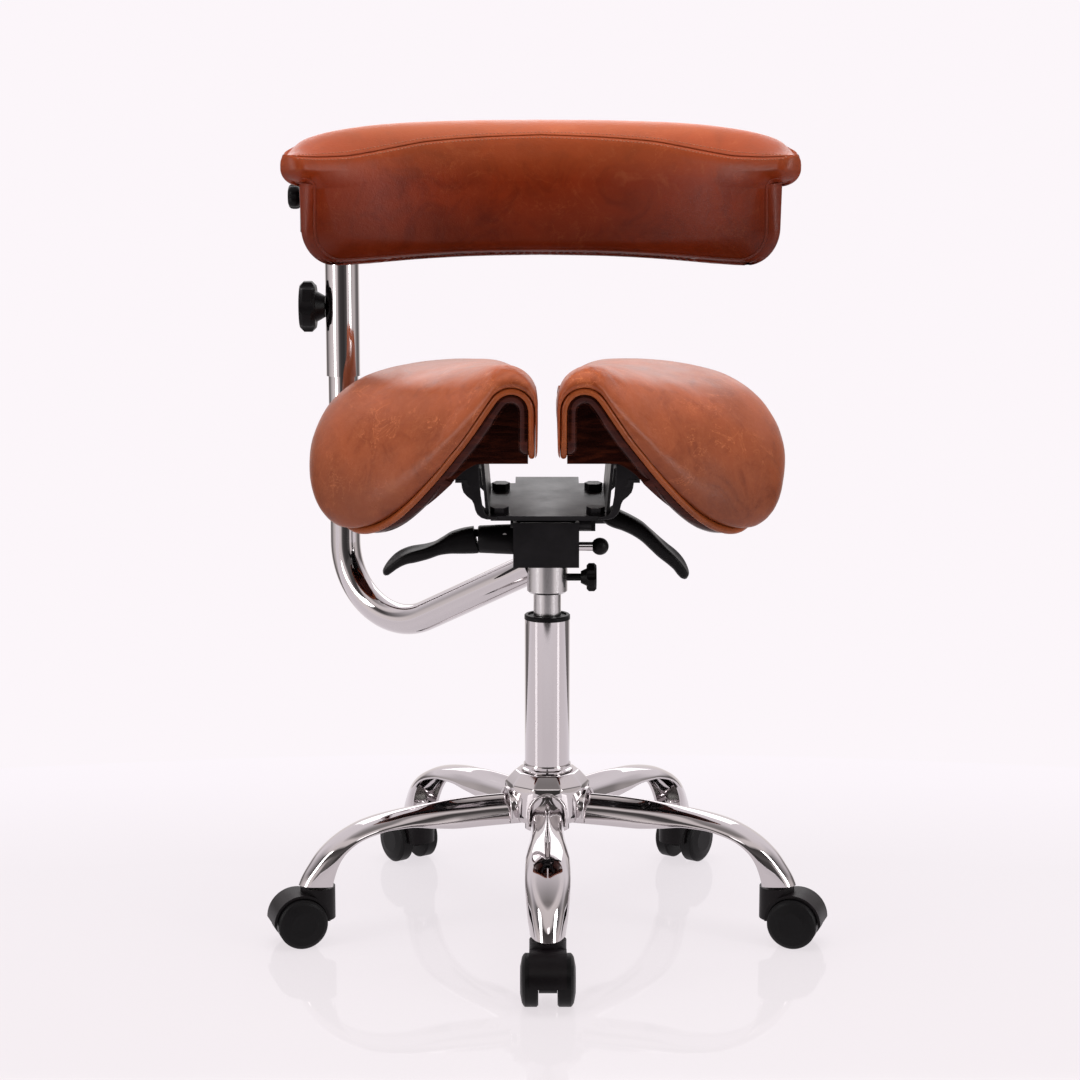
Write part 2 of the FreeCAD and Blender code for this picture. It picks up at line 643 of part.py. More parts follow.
barrel_end = -S.box_left - S.barrel_length
barrel_solid = cone("barrel_solid", S.barrel_diameter, S.barrel_root, S.barrel_length,
                    barrel_end, 0, S.left_lever_z, ALONG_X)
barrel_room = cylinder("barrel_room", S.barrel_bore, S.barrel_length + 2 * S.overrun,
                       barrel_end - S.overrun, 0, S.left_lever_z, ALONG_X)
barrel_pin_hole = cylinder("barrel_pin_hole", S.pivot_pin, 2 * S.barrel_root, -S.left_pivot,
                           -S.barrel_root, S.left_lever_z, ALONG_Y)
barrel_cuts = fuse("barrel_cuts", barrel_room, barrel_pin_hole)
keep(cut("barrel", barrel_solid, barrel_cuts), "left_lever_barrel")
left_pin_half = S.barrel_diameter / 2
left_pin = cylinder("left_pin", S.pivot_pin, 2 * left_pin_half, -S.left_pivot, -left_pin_half,
                    S.left_lever_z, ALONG_Y)
right_pin_half = S.lug_gap / 2 + S.lug_thickness
right_pin = cylinder("right_pin", S.pivot_pin, 2 * right_pin_half, S.right_pivot,
                     S.right_lever_y - right_pin_half, S.right_lever_z, ALONG_Y)
keep(group("pivot_pins", left_pin, right_pin), "lever_pivot_pins")

# Height lever: rod through the barrel with a cranked finger over the release pin

paddle_face = barrel_end - S.lever_gap
rod_start = paddle_face - S.lever_rod_in_paddle
finger_x = -S.box_left + S.box_wall + S.overrun
pin_running = S.pivot_pin + 2 * S.running_clearance
finger_z = (pin_top + S.finger_play, pin_top + S.finger_play + S.finger_height)
finger_half = S.finger_width / 2
height_rod = cylinder("height_rod", S.lever_rod, finger_x + S.finger_post / 2 - rod_start,
                      rod_start, 0, S.left_lever_z, ALONG_X)
height_post = box("height_post", (finger_x, finger_x + S.finger_post),
                  (-finger_half, finger_half), (S.left_lever_z - S.lever_rod / 2, finger_z[1]))
height_finger = box("height_finger", (finger_x, S.finger_reach), (-finger_half, finger_half),
                    finger_z)
height_shaft = fuse("height_shaft", height_rod, height_post, height_finger)
height_hole = cylinder("height_hole", pin_running, 2 * S.lever_rod, -S.left_pivot, -S.lever_rod,
                       S.left_lever_z, ALONG_Y)
keep(cut("height_shaft_drilled", height_shaft, height_hole), "height_lever_shaft")

# Tilt lever: short rod on its pivot pin between the lugs

tilt_paddle_face = S.right_lever_x
tilt_rod = cylinder("tilt_rod", S.lever_rod, tilt_paddle_face + S.lever_rod_in_paddle / 2
                    - S.right_rod_end, S.right_rod_end, S.right_lever_y, S.right_lever_z, ALONG_X)
tilt_hole = cylinder("tilt_hole", pin_running, 2 * S.lever_rod, S.right_pivot,
                     S.right_lever_y - S.lever_rod, S.right_lever_z, ALONG_Y)
keep(cut("tilt_shaft_drilled", tilt_rod, tilt_hole), "tilt_lever_shaft")


# Lever paddles: flattened sections along a drooping curve

def paddle(stations, bore_start, bore_depth):
    """A lever lofted through (x, y, z, width, thickness) stations, with a blind rod hole."""
    wires = []
    count = len(stations)
    for index, (x, y, z, width, thickness) in enumerate(stations):
        before = stations[max(index - 1, 0)]
        after = stations[min(index + 1, count - 1)]
        along = Vector(after[0] - before[0], 0, after[2] - before[2])
        if index == 0:
            along = Vector(along.x, 0, 0)
        along.normalize()
        up = Vector(0, 1, 0).cross(along)
        wires.append(oval(Vector(x, y, z), Vector(0, 1, 0), up, width, thickness))
    solid = Part.makeLoft(wires, True, False)
    direction = Vector(1 if stations[1][0] > stations[0][0] else -1, 0, 0)
    bore = Part.makeCylinder(float(S.lever_rod) / 2, bore_depth, bore_start, direction)
    return solid.cut(bore)


PADDLE_SIZES = {
    "paddle_length": 97, "paddle_drop": 31, "paddle_width": 27, "paddle_thickness": 26,
    "right_paddle_length": 86, "right_paddle_drop": 51, "right_paddle_width": 26,
    "paddle_end_width": 15}
S.add(PADDLE_SIZES)
left_paddle_shares = [
    (0.0, 0.0, 1.0, 1.0), (0.2, 0.02, 0.98, 0.85), (0.42, 0.2, 0.92, 0.56),
    (0.62, 0.36, 0.95, 0.45), (0.78, 0.47, 1.0, 0.42), (0.9, 0.68, 0.95, 0.38),
    (0.97, 0.9, 0.75, 0.34), (1.0, 1.0, 0.4, 0.2)]
right_paddle_shares = [
    (0.0, -0.1, 0.8, 0.62), (0.16, 0.02, 0.95, 0.62), (0.36, 0.22, 1.0, 0.56),
    (0.56, 0.46, 1.0, 0.46), (0.76, 0.7, 1.0, 0.42), (0.9, 0.88, 0.9, 0.38),
    (0.97, 0.98, 0.7, 0.32), (1.0, 1.04, 0.4, 0.2)]


def paddle_stations(shares, root, side, length, drop, width, thickness):
    return [(root[0] + side * length * run, root[1], root[2] - drop * fall, width * wide,
             thickness * thick) for run, fall, wide, thick in shares]


left_root = (float(paddle_face), 0.0, float(S.left_lever_z))
feature("height_lever", paddle(
    paddle_stations(left_paddle_shares, left_root, -1, float(S.paddle_length),
                    float(S.paddle_drop), float(S.paddle_width), float(S.paddle_thickness)),
    Vector(*left_root), float(S.lever_rod_in_paddle)))
right_root = (float(tilt_paddle_face), float(S.right_lever_y), float(S.right_lever_z))
feature("tilt_lever", paddle(
    paddle_stations(right_paddle_shares, right_root, 1, float(S.right_paddle_length),
                    float(S.right_paddle_drop), float(S.right_paddle_width),
                    float(S.paddle_thickness)),
    Vector(*right_root), float(S.lever_rod_in_paddle) / 2))

# Pull plunger: flanged shaft through the right wall, with a ball on its end

plunger_shaft_length = S.plunger_inside + S.plunger_neck + S.plunger_ball / 2
plunger_start = S.box_right - S.plunger_inside
plunger_rod = cylinder("plunger_rod", S.plunger_diameter, plunger_shaft_length, plunger_start,
                       S.plunger_y, S.plunger_z, ALONG_X)
plunger_disc = cylinder("plunger_disc", S.plunger_flange, S.plunger_flange_width, plunger_start,
                        S.plunger_y, S.plunger_z, ALONG_X)
keep(fuse("plunger", plunger_rod, plunger_disc), "plunger_shaft")
ball_x = S.box_right + S.plunger_neck + S.plunger_ball / 2
ball_solid = sphere("ball_solid", S.plunger_ball, ball_x, S.plunger_y, S.plunger_z)
ball_bore = cylinder("ball_bore", S.plunger_diameter, S.plunger_ball, ball_x - S.plunger_ball,
                     S.plunger_y, S.plunger_z, ALONG_X)
keep(cut("ball", ball_solid, ball_bore), "plunger_ball")


# Seat carrier: everything below is drawn level and then pitched about the tilt axle

seat_pivot = Vector(0, float(S.tilt_axle_y), float(S.tilt_axle_z))
seat_turn = Placement(Vector(0, 0, 0), Rotation(Vector(1, 0, 0), SEAT_PITCH), seat_pivot)


def pitched(obj):
    obj.Placement = seat_turn.multiply(obj.Placement)
    return obj


# Tilt bracket: plate under the cradle with two ears on the axle

bracket_top = S.cradle_top - S.plate_steel
bracket_z = (bracket_top - S.bracket_steel, bracket_top)
bracket_plate = box("bracket_plate", (-S.bracket_half, S.bracket_half),
                    (-S.bracket_front, S.bracket_rear), bracket_z)
ear_y = (S.tilt_axle_y - S.ear_length / 2, S.tilt_axle_y + S.ear_length / 2)
ear_z = (S.tilt_axle_z - S.ear_depth / 2, bracket_z[1])
left_ear_x = inner_x[0] + S.ear_play
right_ear_x = inner_x[1] - S.ear_play
left_ear = box("left_ear", (left_ear_x, left_ear_x + S.ear_thickness), ear_y, ear_z)
right_ear = box("right_ear", (right_ear_x - S.ear_thickness, right_ear_x), ear_y, ear_z)
bracket_all = fuse("bracket_all", bracket_plate, left_ear, right_ear)
ear_hole = cylinder("ear_hole", S.tilt_axle + 2 * S.running_clearance, 2 * S.bracket_half,
                    -S.bracket_half, S.tilt_axle_y, S.tilt_axle_z, ALONG_X)
bolt_places = [(side * S.bolt_x, y) for side in (-1, 1) for y in (S.bolt_front_y, S.bolt_rear_y)]
bracket_bolt_holes = [
    cylinder(f"bracket_bolt_hole_{number}", S.bolt_shank, 2 * S.bolt_shank, x, y,
             bracket_z[0] - S.bolt_shank)
    for number, (x, y) in enumerate(bolt_places)]
bracket_holes = fuse("bracket_holes", ear_hole, *bracket_bolt_holes)
keep(pitched(cut("bracket", bracket_all, bracket_holes)), "tilt_bracket")

# Cradle: plate with a narrower tail, side ribs up to the shells and two gussets a side

cradle_bottom = S.cradle_top - S.plate_steel
cradle_outline = [
    (-S.cradle_half, -S.cradle_front), (S.cradle_half, -S.cradle_front),
    (S.cradle_half, S.cradle_rear - S.tail_length), (S.tail_half, S.cradle_rear - S.tail_length),
    (S.tail_half, S.cradle_rear), (-S.tail_half, S.cradle_rear),
    (-S.tail_half, S.cradle_rear - S.tail_length),
    (-S.cradle_half, S.cradle_rear - S.tail_length)]
cradle_plate = padded_outline("cradle_plate", "XY_Plane", cradle_outline, S.plate_steel)
move(cradle_plate, 0, 0, cradle_bottom)


def strip(name, outline, front, back):
    """A folded strip: an outline in X and Z, padded from its front place to its back place."""
    body = padded_outline(name, "XZ_Plane", outline, back - front, reverse=True)
    return move(body, 0, front, 0)


def rib_outline(side):
    steel = S.plate_steel
    foot = S.cradle_half - steel
    head = foot + S.rib_lean
    return [(side * foot, cradle_bottom), (side * (foot + steel), cradle_bottom),
            (side * (head + steel), S.rib_top),
            (side * (head + steel - S.rib_flange), S.rib_top),
            (side * (head + steel - S.rib_flange), S.rib_top - steel),
            (side * head, S.rib_top - steel)]


def gusset_outline(side):
    steel = S.plate_steel
    base = S.cradle_half - steel
    knee = S.cradle_half + 2 * steel
    step = knee + S.gusset_flange
    flange_z = S.gusset_flange_z
    return [(side * base, cradle_bottom), (side * (base + steel), cradle_bottom),
            (side * (knee + steel), cradle_bottom + S.cradle_bend),
            (side * (knee + steel + steel / 2), flange_z - 5 * steel),
            (side * (step + steel), flange_z - 2 * steel),
            (side * (step + steel), flange_z - steel),
            (side * (step + S.gusset_flange), flange_z - steel),
            (side * (step + S.gusset_flange), flange_z), (side * step, flange_z),
            (side * step, flange_z - 2 * steel + steel / 2),
            (side * (knee + steel / 2), flange_z - 4 * steel),
            (side * knee, cradle_bottom + S.cradle_bend + steel / 2)]


folded = []
for side, word in ((-1, "left"), (1, "right")):
    folded.append(strip(word + "_rib", rib_outline(side), -S.rib_front, S.rib_rear))
    folded.append(strip(word + "_front_gusset", gusset_outline(side), -S.cradle_front,
                        S.gusset_length - S.cradle_front))
    folded.append(strip(word + "_rear_gusset", gusset_outline(side),
                        S.rib_rear - S.gusset_length, S.rib_rear))
cradle_all = fuse("cradle_all", cradle_plate, *folded)
cradle_bolt_holes = [
    cylinder(f"cradle_bolt_hole_{number}", S.bolt_shank, 2 * S.bolt_shank, x, y,
             cradle_bottom - S.bolt_shank)
    for number, (x, y) in enumerate(bolt_places)]
flange_x = S.cradle_half + S.rib_lean - S.plate_steel - S.rib_flange / 2
screw_rows = (S.overrun - S.rib_front + S.shell_screw_head, S.rib_rear - S.shell_screw_head)
shell_screw_places = [(side * flange_x, y) for side in (-1, 1) for y in screw_rows]
flange_holes = [
    cylinder(f"flange_hole_{number}", S.shell_screw, 4 * S.plate_steel, x, y,
             S.rib_top - 2 * S.plate_steel)
    for number, (x, y) in enumerate(shell_screw_places)]
cradle_holes = fuse("cradle_holes", *cradle_bolt_holes, *flange_holes)
keep(pitched(cut("cradle_cut", cradle_all, cradle_holes)), "seat_cradle")

# Hexagon bolts of the cradle, and the screws that hold the shells

bolts = []
for number, (x, y) in enumerate(bolt_places):
    head = prism(f"bolt_head_{number}", S.bolt_flats, S.bolt_head, x, y, S.cradle_top)
    shank = cylinder(f"bolt_shank_{number}", S.bolt_shank,
                     S.plate_steel + S.bracket_steel + S.bolt_head / 2, x, y, bracket_z[0])
    bolts.append(fuse(f"bolt_{number}", head, shank))
keep(pitched(group("bolts", *bolts)), "cradle_bolts")
screws = []
for number, (x, y) in enumerate(shell_screw_places):
    flange_under = S.rib_top - S.plate_steel
    head = cylinder(f"screw_head_{number}", S.shell_screw_head, S.screw_head_height, x, y,
                    flange_under - S.screw_head_height)
    shank = cylinder(f"screw_shank_{number}", S.shell_screw, S.screw_depth, x, y,
                     flange_under - S.screw_head_height / 2)
    screws.append(fuse(f"screw_{number}", head, shank))
keep(pitched(group("shell_screws_all", *screws)), "shell_screws")


# Seat halves. Each cross-section is an arch: a wall beside the gap, a round crest, then a long
# shallow arc and a tight one down to the outer edge. The table gives the stations from the front
# of the seat to its back.

SEAT_OUTLINE_SIZES = {
    "seat_front": 99, "seat_length": 282, "seat_reach": 222, "crest_rise": 69, "seat_fall": 155,
    "cushion_rise": 32, "cushion_edge": 20, "leather_lift": 4}
S.add(SEAT_OUTLINE_SIZES)
pommel_bottom = float(S.rib_top)
leather_foot = pommel_bottom + float(S.leather_lift)
seat_crest = pommel_bottom + float(S.crest_rise)
# Shares: place along the length, crest height, crest round of the shell and of the cushion as
# shares of their rise over the foot of the leather, slope at the crest (degrees), reach of the
# outer edge, its height, slope there (degrees), cushion thickness at the crest and at the edge
station_shares = [
    (0.000, 1.00, 0.257, 0.309, 56, 0.391, 0.600, 52, 0.38, 0.60),
    (0.067, 0.985, 0.315, 0.327, 46, 0.504, 0.390, 58, 0.60, 0.75),
    (0.138, 0.95, 0.411, 0.372, 34, 0.650, 0.165, 68, 0.76, 0.90),
    (0.209, 0.90, 0.537, 0.452, 24, 0.770, 0.060, 78, 0.88, 1.00),
    (0.280, 0.86, 0.632, 0.539, 16, 0.863, 0.035, 86, 0.96, 1.00),
    (0.351, 0.83, 0.688, 0.621, 10, 0.930, 0.090, 92, 1.00, 1.00),
    (0.440, 0.80, 0.738, 0.724, 5, 0.968, 0.205, 95, 1.00, 1.00),
    (0.528, 0.78, 0.763, 0.800, 1, 0.976, 0.340, 95, 1.00, 1.00),
    (0.635, 0.77, 0.751, 0.865, -1, 0.935, 0.455, 92, 0.97, 0.95),
    (0.741, 0.763, 0.699, 0.917, -3, 0.840, 0.535, 88, 0.91, 0.90),
    (0.848, 0.745, 0.626, 0.913, -3, 0.690, 0.585, 82, 0.81, 0.85),
    (0.936, 0.70, 0.575, 0.900, -2, 0.535, 0.580, 72, 0.66, 0.75),
    (1.000, 0.65, 0.424, 0.847, 4, 0.400, 0.570, 60, 0.50, 0.60)]


def heading(slope):
    """Unit direction that falls by a slope, in degrees."""
    return math.cos(math.radians(slope)), -math.sin(math.radians(slope))


def dot(first, second):
    return first[0] * second[0] + first[1] * second[1]


def stepped(point, direction, step):
    return point[0] + direction[0] * step, point[1] + direction[1] * step


def arc_middle(start, corner, end):
    """The middle of the arc that touches start-corner and corner-end."""
    middle = ((start[0] + end[0]) / 2, (start[1] + end[1]) / 2)
    half = math.hypot(end[0] - start[0], end[1] - start[1]) / 2
    depth = math.hypot(corner[0] - middle[0], corner[1] - middle[1])
    rise = half * math.tan(math.atan2(depth, half) / 2)
    return stepped(middle, (corner[0] - middle[0], corner[1] - middle[1]), rise / depth)


def arch(wall, round_radius, slope, top, edge, edge_slope):
    """Corner and middle points of an arch in its own plane, from the wall to the outer edge."""
    centre = (wall + round_radius, top - round_radius)
    lean = math.radians(slope)
    middle_turn = (math.pi + math.pi / 2 - lean) / 2
    crest_middle = stepped(centre, (math.cos(middle_turn), math.sin(middle_turn)), round_radius)
    crest_end = stepped(centre, (math.sin(lean), math.cos(lean)), round_radius)
    first = heading(slope)
    last = heading(edge_slope)
    chord = (edge[0] - crest_end[0], edge[1] - crest_end[1])
    turned_share = 2 * (1 - dot(first, last))
    reach = dot(chord, first) + dot(chord, last)
    step = (math.sqrt(reach ** 2 + turned_share * dot(chord, chord)) - reach) / turned_share
    corners = (stepped(crest_end, first, step), stepped(edge, last, -step))
    joint = ((corners[0][0] + corners[1][0]) / 2, (corners[0][1] + corners[1][1]) / 2)
    return {
        "wall": (wall, centre[1]), "crest_middle": crest_middle, "crest_end": crest_end,
        "upper_middle": arc_middle(crest_end, corners[0], joint), "joint": joint,
        "lower_middle": arc_middle(joint, corners[1], edge), "edge": edge}


def seat_station(shares):
    """Sizes of one station, worked out from the sizes of the seat."""
    along, crest, rounding, soft_rounding, slope = shares[:5]
    reach, height, edge_slope, thick, edge_thick = shares[5:]
    fall = float(S.seat_fall)
    bottom = seat_crest - fall
    top = bottom + fall * crest
    soft_top = top + float(S.band_thickness) + float(S.cushion_rise) * thick
    return {
        "y": -float(S.seat_front) + float(S.seat_length) * along,
        "top": top,
        "round": (top - leather_foot) * rounding,
        "soft_top": soft_top,
        "soft_round": (soft_top - leather_foot) * soft_rounding,
        "slope": slope,
        "edge": (float(S.seat_reach) * reach, bottom + fall * height),
        "edge_slope": edge_slope,
        "normal": (math.sin(math.radians(edge_slope)), math.cos(math.radians(edge_slope))),
        "edge_thick": float(S.cushion_edge) * edge_thick,
    }


def layer_arch(station, offset):
    """The arch of a station moved outward by an offset from the top of the shell."""
    edge = stepped(station["edge"], station["normal"], offset)
    return arch(float(S.shell_gap) / 2 - offset, station["round"] + offset, station["slope"],
                station["top"] + offset, edge, station["edge_slope"])


def cushion_arch(station):
    """The top of the cushion: thin at the gap and at the edge, full on the crest."""
    offset = float(S.band_thickness) + station["edge_thick"]
    edge = stepped(station["edge"], station["normal"], offset)
    return arch(float(S.seat_gap) / 2, station["soft_round"], station["slope"],
                station["soft_top"], edge, station["edge_slope"])


def spot(side, y, point):
    return Vector(side * point[0], y, point[1])


def arch_edges(side, y, shape, foot):
    """Edges from the foot of the wall, over the crest, to the outer edge."""
    edges = [Part.LineSegment(spot(side, y, foot), spot(side, y, shape["wall"])).toShape()]
    for start, middle, end in (("wall", "crest_middle", "crest_end"),
                               ("crest_end", "upper_middle", "joint"),
                               ("joint", "lower_middle", "edge")):
        edges.append(Part.Arc(spot(side, y, shape[start]), spot(side, y, shape[middle]),
                              spot(side, y, shape[end])).toShape())
    return edges


def layer_section(side, station, low, high, bulge):
    """A closed section between two arches; its outer end is a shallow arc."""
    y = station["y"]
    low_foot = (low["wall"][0], leather_foot)
    high_foot = (high["wall"][0], leather_foot)
    upper = arch_edges(side, y, high, high_foot)
    lower = arch_edges(side, y, low, low_foot)
    top = high["edge"]
    under = low["edge"]
    middle = ((top[0] + under[0]) / 2 + (top[1] - under[1]) * bulge,
              (top[1] + under[1]) / 2 - (top[0] - under[0]) * bulge)
    end = Part.Arc(spot(side, y, top), spot(side, y, middle), spot(side, y, under)).toShape()
    foot = Part.LineSegment(spot(side, y, low_foot), spot(side, y, high_foot)).toShape()
    return Part.Wire(upper + [end] + lower[::-1] + [foot])


def cushion_section(side, station):
    bulge_share = 0.38
    fit = float(S.running_clearance)
    return layer_section(side, station, layer_arch(station, float(S.band_thickness) + fit),
                         cushion_arch(station), bulge_share)


def band_section(side, station):
    """The band, eased off the shell near the front where the arch changes quickly."""
    bulge_share = 0.2
    into_share = (station["y"] + float(S.seat_front)) / float(S.band_ease_length)
    fit = float(S.running_clearance) + float(S.band_ease) * max(0, 1 - into_share)
    return layer_section(side, station, layer_arch(station, fit),
                         layer_arch(station, float(S.band_thickness)), bulge_share)


def shell_section(side, station):
    """The shell: its top arch, a thin outer edge, the slanting underside and the flat bottom."""
    y = station["y"]
    high = layer_arch(station, 0)
    under = stepped(high["edge"], station["normal"], -float(S.shell_thickness))
    heel = (float(S.pommel_width), pommel_bottom)
    foot = (high["wall"][0], pommel_bottom)
    middle_share = 0.1
    chord = (under[0] - heel[0], under[1] - heel[1])
    middle = ((heel[0] + under[0]) / 2 - chord[1] * middle_share,
              (heel[1] + under[1]) / 2 + chord[0] * middle_share)
    edges = arch_edges(side, y, high, foot)
    edges.append(Part.LineSegment(spot(side, y, high["edge"]), spot(side, y, under)).toShape())
    edges.append(Part.Arc(spot(side, y, under), spot(side, y, middle),
                          spot(side, y, heel)).toShape())
    edges.append(Part.LineSegment(spot(side, y, heel), spot(side, y, foot)).toShape())
    return Part.Wire(edges)


def seat_loft(section, side):
    stations = [seat_station(shares) for shares in station_shares]
    return Part.makeLoft([section(side, station) for station in stations], True, False)


def shell_pocket(side):
    """The hollow under the crest of the shell."""
    wall = float(S.pocket_wall)
    inner = float(S.shell_gap) / 2 + wall
    outer = float(S.pommel_width) - float(S.flange_land)
    front = -float(S.seat_front) + 2 * wall
    length = float(S.seat_length) - 4 * wall
    x = inner if side > 0 else -outer
    return Part.makeBox(outer - inner, length, float(S.pommel_pocket),
                        Vector(x, front, pommel_bottom))


for side, word in ((-1, "left"), (1, "right")):
    shell = seat_loft(shell_section, side).cut(shell_pocket(side))
    for x, y in shell_screw_places:
        if float(x) * side > 0:
            hole = Part.makeCylinder(float(S.shell_screw) / 2, float(S.screw_depth),
                                     Vector(float(x), float(y), pommel_bottom))
            shell = shell.cut(hole)
    pitched(feature(word + "_seat_shell", shell))
    pitched(feature(word + "_seat_band", seat_loft(band_section, side)))
    pitched(feature(word + "_seat_cushion", seat_loft(cushion_section, side)))


# Tilt spring: an open coil between the floor of the housing and the bracket

def tilt_spring():
    turns = 5
    radius = (float(S.spring_diameter) - float(S.spring_wire)) / 2
    low = float(floor_z) + float(S.spring_wire) / 2 + float(S.soft_clearance)
    rise = float(S.spring_y) - float(S.tilt_axle_y)
    plate_low = float(bracket_z[0]) + rise * math.tan(math.radians(SEAT_PITCH))
    high = plate_low - float(S.spring_wire) - float(S.spring_seat)
    helix = Part.makeHelix((high - low) / turns, high - low, radius)
    helix.translate(Vector(0, float(S.spring_y), low))
    start = Vector(radius, float(S.spring_y), low)
    profile = Part.Wire(Part.makeCircle(float(S.spring_wire) / 2, start, Vector(0, 1, 0)))
    return Part.Wire(helix.Edges).makePipeShell([profile], True, True)


feature("tilt_spring", tilt_spring())


# Arm: collar on the gas cylinder, bent tube and its upright

post_radius = math.hypot(float(S.post_x), float(S.post_y))
post_angle = math.degrees(math.atan2(float(S.post_y), float(S.post_x)))
collar_r = S.collar_diameter / 2
liner_r = cylinder_r + S.collar_bush_wall
edge_round = S.overrun
collar_liner = turned("collar_liner", [
    (bush_bore, S.collar_bottom), (liner_r, S.collar_bottom), (liner_r, S.collar_top),
    (bush_bore, S.collar_top)])
collar_turned = turned("collar_turned", [
    (liner_r, S.collar_bottom), (collar_r - edge_round, S.collar_bottom),
    (collar_r, S.collar_bottom + edge_round), (collar_r, S.collar_top - edge_round / 4),
    (collar_r - edge_round / 4, S.collar_top), (liner_r, S.collar_top)])
collar_stud_hole = cylinder("collar_stud_hole", S.stud_diameter + 2 * S.running_clearance,
                            S.collar_diameter, cylinder_r, 0, S.collar_knob_z, ALONG_X)
keep(cut("collar_drilled", collar_turned, collar_stud_hole), "arm_collar")
bush_stud_hole = cylinder("bush_stud_hole", S.stud_diameter + 2 * S.running_clearance,
                          S.collar_diameter, 0, 0, S.collar_knob_z, ALONG_X)
keep(cut("liner_drilled", collar_liner, bush_stud_hole), "collar_bush")


def arm_path(inset):
    """Centre line of the arm tube in the plane through the column and the upright."""
    turn = math.radians(post_angle)
    outward = Vector(math.cos(turn), math.sin(turn), 0)

    def at(radius, z):
        return outward * radius + Vector(0, 0, z)

    start = at(inset, float(S.arm_tube_z))
    corner = at(post_radius, float(S.arm_corner_z))
    top = at(post_radius, float(S.post_top))
    incoming = (corner - start).normalize()
    rising = Vector(0, 0, 1)
    bend = math.acos(incoming.dot(rising))
    radius = float(S.arm_radius)
    tangent = radius * math.tan(bend / 2)
    first = corner - incoming * tangent
    last = corner + rising * tangent
    centre_way = (rising - incoming).normalize()
    centre = corner + centre_way * (radius / math.cos(bend / 2))
    middle = centre - centre_way * radius
    return Part.Wire([Part.LineSegment(start, first).toShape(),
                      Part.Arc(first, middle, last).toShape(),
                      Part.LineSegment(last, top).toShape()]), incoming


def arm_tube():
    inset = float(liner_r)
    path, direction = arm_path(inset)
    start = path.Vertexes[0].Point
    solids = []
    for radius in (float(S.arm_tube) / 2, float(S.arm_tube) / 2 - float(S.arm_wall)):
        ring = Part.Wire(Part.makeCircle(radius, start, direction))
        solids.append(path.makePipeShell([ring], True, False))
    tube = solids[0].cut(solids[1])
    collar = Part.makeCylinder(float(collar_r), float(S.collar_top),
                               Vector(0, 0, float(S.collar_bottom) - float(S.collar_top) / 2))
    trim = Part.makeCylinder(float(S.arm_radius), float(S.arm_radius),
                             Vector(0, 0, float(S.collar_top + S.arm_trim)))
    return tube.cut(collar).cut(trim)


feature("arm_tube", arm_tube())


# Knobs with lobes, each on its stud

def knob(diameter, head, hub, stud_length, lobes, start, direction):
    """A lobed head with a tapered hub and a threaded stud, from the hub's face outward."""
    hub_start_share = 0.42
    hub_end_share = 0.62
    bite_share = 0.42
    rim_share = 0.16
    depth = float(S.knob_lobe_depth)
    radius = diameter / 2
    hub_solid = Part.makeCone(radius * hub_start_share, radius * hub_end_share, hub)
    rim = diameter * rim_share / 2
    disc = Part.makeCylinder(radius, head - rim, Vector(0, 0, hub + rim))
    disc = disc.fuse(Part.makeCone(radius - rim, radius, rim, Vector(0, 0, hub)))
    disc = disc.cut(Part.makeCylinder(radius, rim, Vector(0, 0, hub + head - rim)))
    disc = disc.fuse(Part.makeCone(radius, radius - rim, rim, Vector(0, 0, hub + head - rim)))
    for index in range(lobes):
        turn = 2 * math.pi * (index + 0.5) / lobes
        bite = radius * bite_share
        reach = radius + bite - depth
        disc = disc.cut(Part.makeCylinder(bite, head, Vector(reach * math.cos(turn),
                                                             reach * math.sin(turn), hub)))
    stud = Part.makeCylinder(float(S.stud_diameter) / 2, stud_length + hub,
                             Vector(0, 0, -stud_length))
    body = disc.fuse(hub_solid).fuse(stud).removeSplitter()
    body.Placement = Placement(start, Rotation(Vector(0, 0, 1), direction))
    return body


feature("collar_knob", knob(
    float(S.collar_knob_diameter), float(S.collar_knob_head), float(S.collar_knob_hub),
    float(S.collar_knob_x) - float(cylinder_r) - float(S.running_clearance), 5,
    Vector(float(S.collar_knob_x), 0, float(S.collar_knob_z)), Vector(1, 0, 0)))

sleeve_r = S.sleeve_diameter / 2
post_r = S.arm_tube / 2
height_knob_start = Vector(float(S.post_x - sleeve_r - S.soft_clearance), float(S.post_y),
                           float(S.height_knob_z))
feature("height_knob", knob(
    float(S.height_knob_diameter), float(S.height_knob_head), float(S.height_knob_hub),
    float(sleeve_r - post_r + S.soft_clearance - S.running_clearance), 6,
    height_knob_start, Vector(-1, 0, 0)))
ring_r = S.clamp_ring / 2
pad_knob_z = S.clamp_ring_bottom + S.clamp_ring_height / 2
pad_knob_start = Vector(float(S.post_x - ring_r - S.soft_clearance), float(S.post_y),
                        float(pad_knob_z))
feature("pad_knob", knob(
    float(S.pad_knob_diameter), float(S.pad_knob_head), float(S.pad_knob_hub),
    float(ring_r - sleeve_r + S.soft_clearance - S.running_clearance), 5,
    pad_knob_start, Vector(-1, 0, 0)))

# Outer sleeve on the upright, with its two bushes

